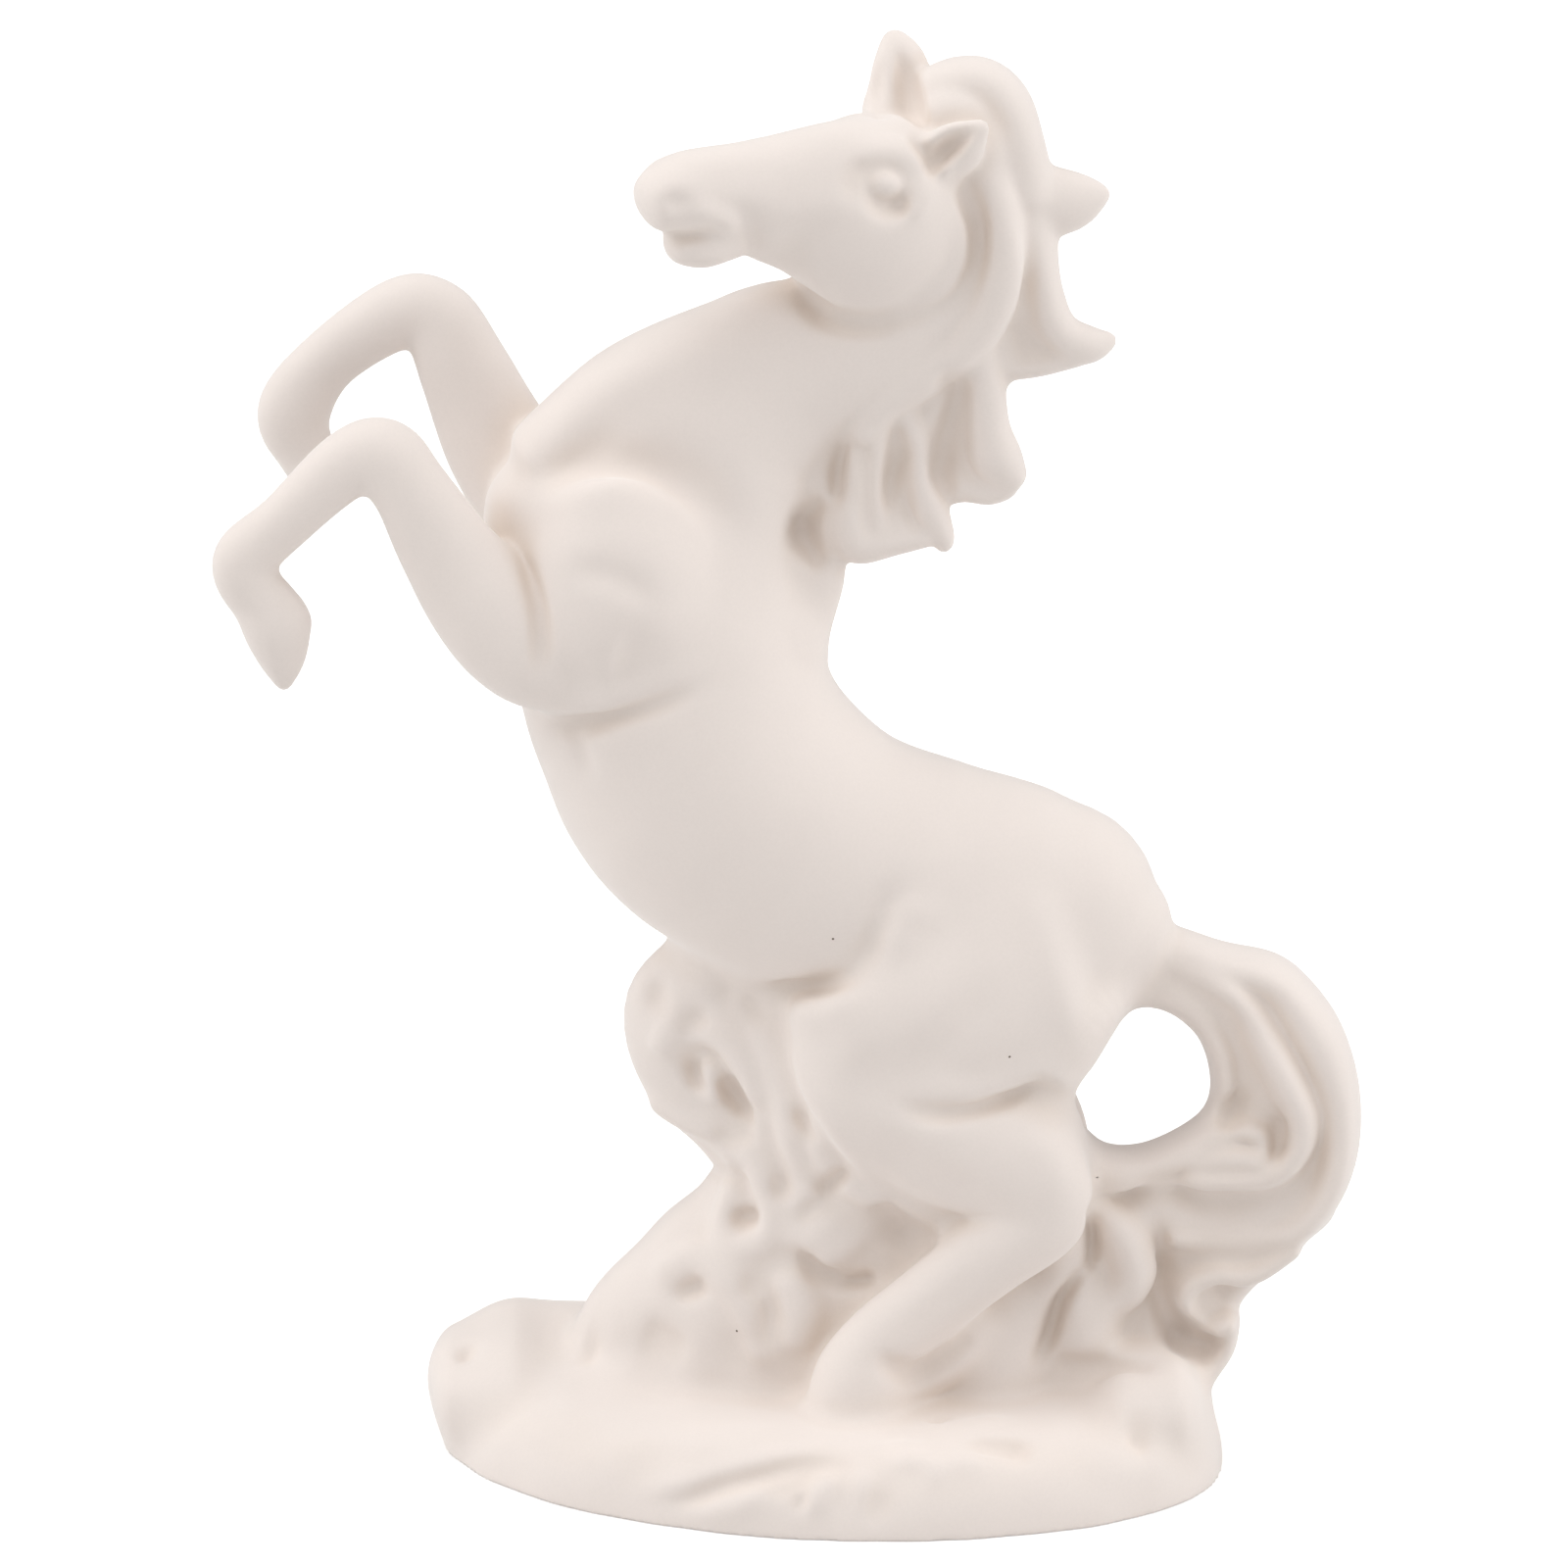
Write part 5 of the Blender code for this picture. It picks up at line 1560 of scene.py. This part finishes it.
for point in touch(KILN_SPECKS) * MM:
    ends = {0: place, 1: tuple(point)}
    apart = node(finish, "ShaderNodeVectorMath", ends, operation="DISTANCE").outputs["Value"]
    speck = scaled(finish, apart, 0.6 * SPECK_RADIUS, SPECK_RADIUS, 1.0, 0.0)
    colour = mixed(finish, speck, colour, BISQUE_SPECK)
rough = scaled(finish, grain, 0.2, 0.8, *GRAIN_ROUGH)
height = node(finish, "ShaderNodeMath", {0: grain, 1: GRAIN_SHARE}, operation="MULTIPLY").outputs[0]
height = node(finish, "ShaderNodeMath", {0: dimple, 1: height}, operation="ADD").outputs[0]
node(finish, "NodeGroupOutput", {"Base Color": colour, "Roughness": rough, "Bump Height": height})
print("nodes in the finish:", len(finish.nodes))

# %% [markdown]
# ## The bisque on the castings
#
# The shader itself stays in the material. Fired clay has a weak, broad reflection, and its fine grain
# brightens the edges that turn away, which is what the sheen is for. Every casting is fixed to the one
# body of the statue and takes the place of its plain CAD solid.

# %% Bisque on the castings
SHEEN, SHEEN_ROUGHNESS = 0.6, 0.45
REFLECTION = 0.35
GRAIN_HEIGHT, GRAIN_STRENGTH = 0.06 * MM, 0.35

bisque = bpy.data.materials.new("bisque")
bisque.use_nodes = True
tree = bisque.node_tree
principled = tree.nodes["Principled BSDF"]
group = tree.nodes.new("ShaderNodeGroup")
group.node_tree = finish
relief = {"Strength": GRAIN_STRENGTH, "Distance": GRAIN_HEIGHT, "Height": group.outputs["Bump Height"]}
bump = node(tree, "ShaderNodeBump", relief)
tree.links.new(group.outputs["Base Color"], principled.inputs["Base Color"])
tree.links.new(group.outputs["Roughness"], principled.inputs["Roughness"])
tree.links.new(bump.outputs["Normal"], principled.inputs["Normal"])
principled.inputs["Specular IOR Level"].default_value = REFLECTION
principled.inputs["Sheen Weight"].default_value = SHEEN
principled.inputs["Sheen Roughness"].default_value = SHEEN_ROUGHNESS
principled.inputs["Sheen Tint"].default_value = (1.0, 1.0, 1.0, 1.0)

for name, piece in statue.items():
    piece.data.materials.append(bisque)
    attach(piece, "root")
    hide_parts(name)
print("castings in bisque:", list(statue))

# %% [markdown]
# ## The floor
#
# The statue stands on white paper. To the camera the paper also glows a little, so that it is as white as
# the background of the photograph and keeps the soft shadow, while the light that it throws back onto the
# clay stays low.

# %% The floor
FLOOR_REACH = 4.0
PAPER = (0.80, 0.80, 0.80, 1.0)
PAPER_GLOW = 0.40

floor_mesh = bpy.data.meshes.new("floor")
corners = [(-1, -1), (1, -1), (1, 1), (-1, 1)]
floor_mesh.from_pydata([(x * FLOOR_REACH, y * FLOOR_REACH, 0.0) for x, y in corners], [], [(0, 1, 2, 3)])
floor = bpy.data.objects.new("floor", floor_mesh)
bpy.context.scene.collection.objects.link(floor)
paper = bpy.data.materials.new("floor_paper")
paper.use_nodes = True
sheet = paper.node_tree.nodes["Principled BSDF"]
sheet.inputs["Base Color"].default_value = PAPER
sheet.inputs["Roughness"].default_value = 1.0
sheet.inputs["Specular IOR Level"].default_value = 0.0
seen = node(paper.node_tree, "ShaderNodeLightPath").outputs["Is Camera Ray"]
glow = node(paper.node_tree, "ShaderNodeMath", {0: seen, 1: PAPER_GLOW}, operation="MULTIPLY").outputs[0]
sheet.inputs["Emission Color"].default_value = (1.0, 1.0, 1.0, 1.0)
paper.node_tree.links.new(glow, sheet.inputs["Emission Strength"])
floor_mesh.materials.append(paper)
print("floor:", 2 * FLOOR_REACH, "m square")

# %% [markdown]
# ## The light
#
# The photograph has the even light of a white tent. The world is that tent: six soft panels, each as
# bright as the cosine to its middle, raised to a power. The panels on both sides are the brightest, so the
# forms are lighter at their edges than in the middle, as they are in the photograph. Lamps could do it,
# but six of them would leave six soft shadows.

# %% The light
TENT_COLOUR = (1.0, 0.985, 0.97, 1.0)
TENT_FOCUS = 6.0
TENT_PANELS = {
    "right": (90.0, 15.0, 2.80),
    "left": (270.0, 15.0, 1.94),
    "top": (0.0, 90.0, 1.26),
    "front_top": (180.0, 50.0, 1.18),
    "left_front": (240.0, 50.0, 0.60),
    "left_back": (300.0, 50.0, 0.54),
}

tent = bpy.data.worlds.new("light_tent")
tent.use_nodes = True
nodes, links = tent.node_tree.nodes, tent.node_tree.links
direction = nodes.new("ShaderNodeTexCoord")
strength = 0.0
for azimuth, elevation, brightness in TENT_PANELS.values():
    turn, rise = math.radians(azimuth), math.radians(elevation)
    way = (math.sin(turn) * math.cos(rise), math.cos(turn) * math.cos(rise), math.sin(rise))
    toward = {0: direction.outputs["Generated"], 1: way}
    facing = node(tent.node_tree, "ShaderNodeVectorMath", toward, operation="DOT_PRODUCT")
    lit = node(tent.node_tree, "ShaderNodeMath", {0: facing.outputs["Value"], 1: 0.0}, operation="MAXIMUM")
    soft = node(tent.node_tree, "ShaderNodeMath", {0: lit.outputs[0], 1: TENT_FOCUS}, operation="POWER")
    added = {0: soft.outputs[0], 1: brightness, 2: strength}
    strength = node(tent.node_tree, "ShaderNodeMath", added, operation="MULTIPLY_ADD").outputs[0]
links.new(strength, nodes["Background"].inputs["Strength"])
nodes["Background"].inputs["Color"].default_value = TENT_COLOUR
bpy.context.scene.world = tent
bpy.context.scene.view_settings.view_transform = "Standard"
print("panels of the tent:", list(TENT_PANELS))
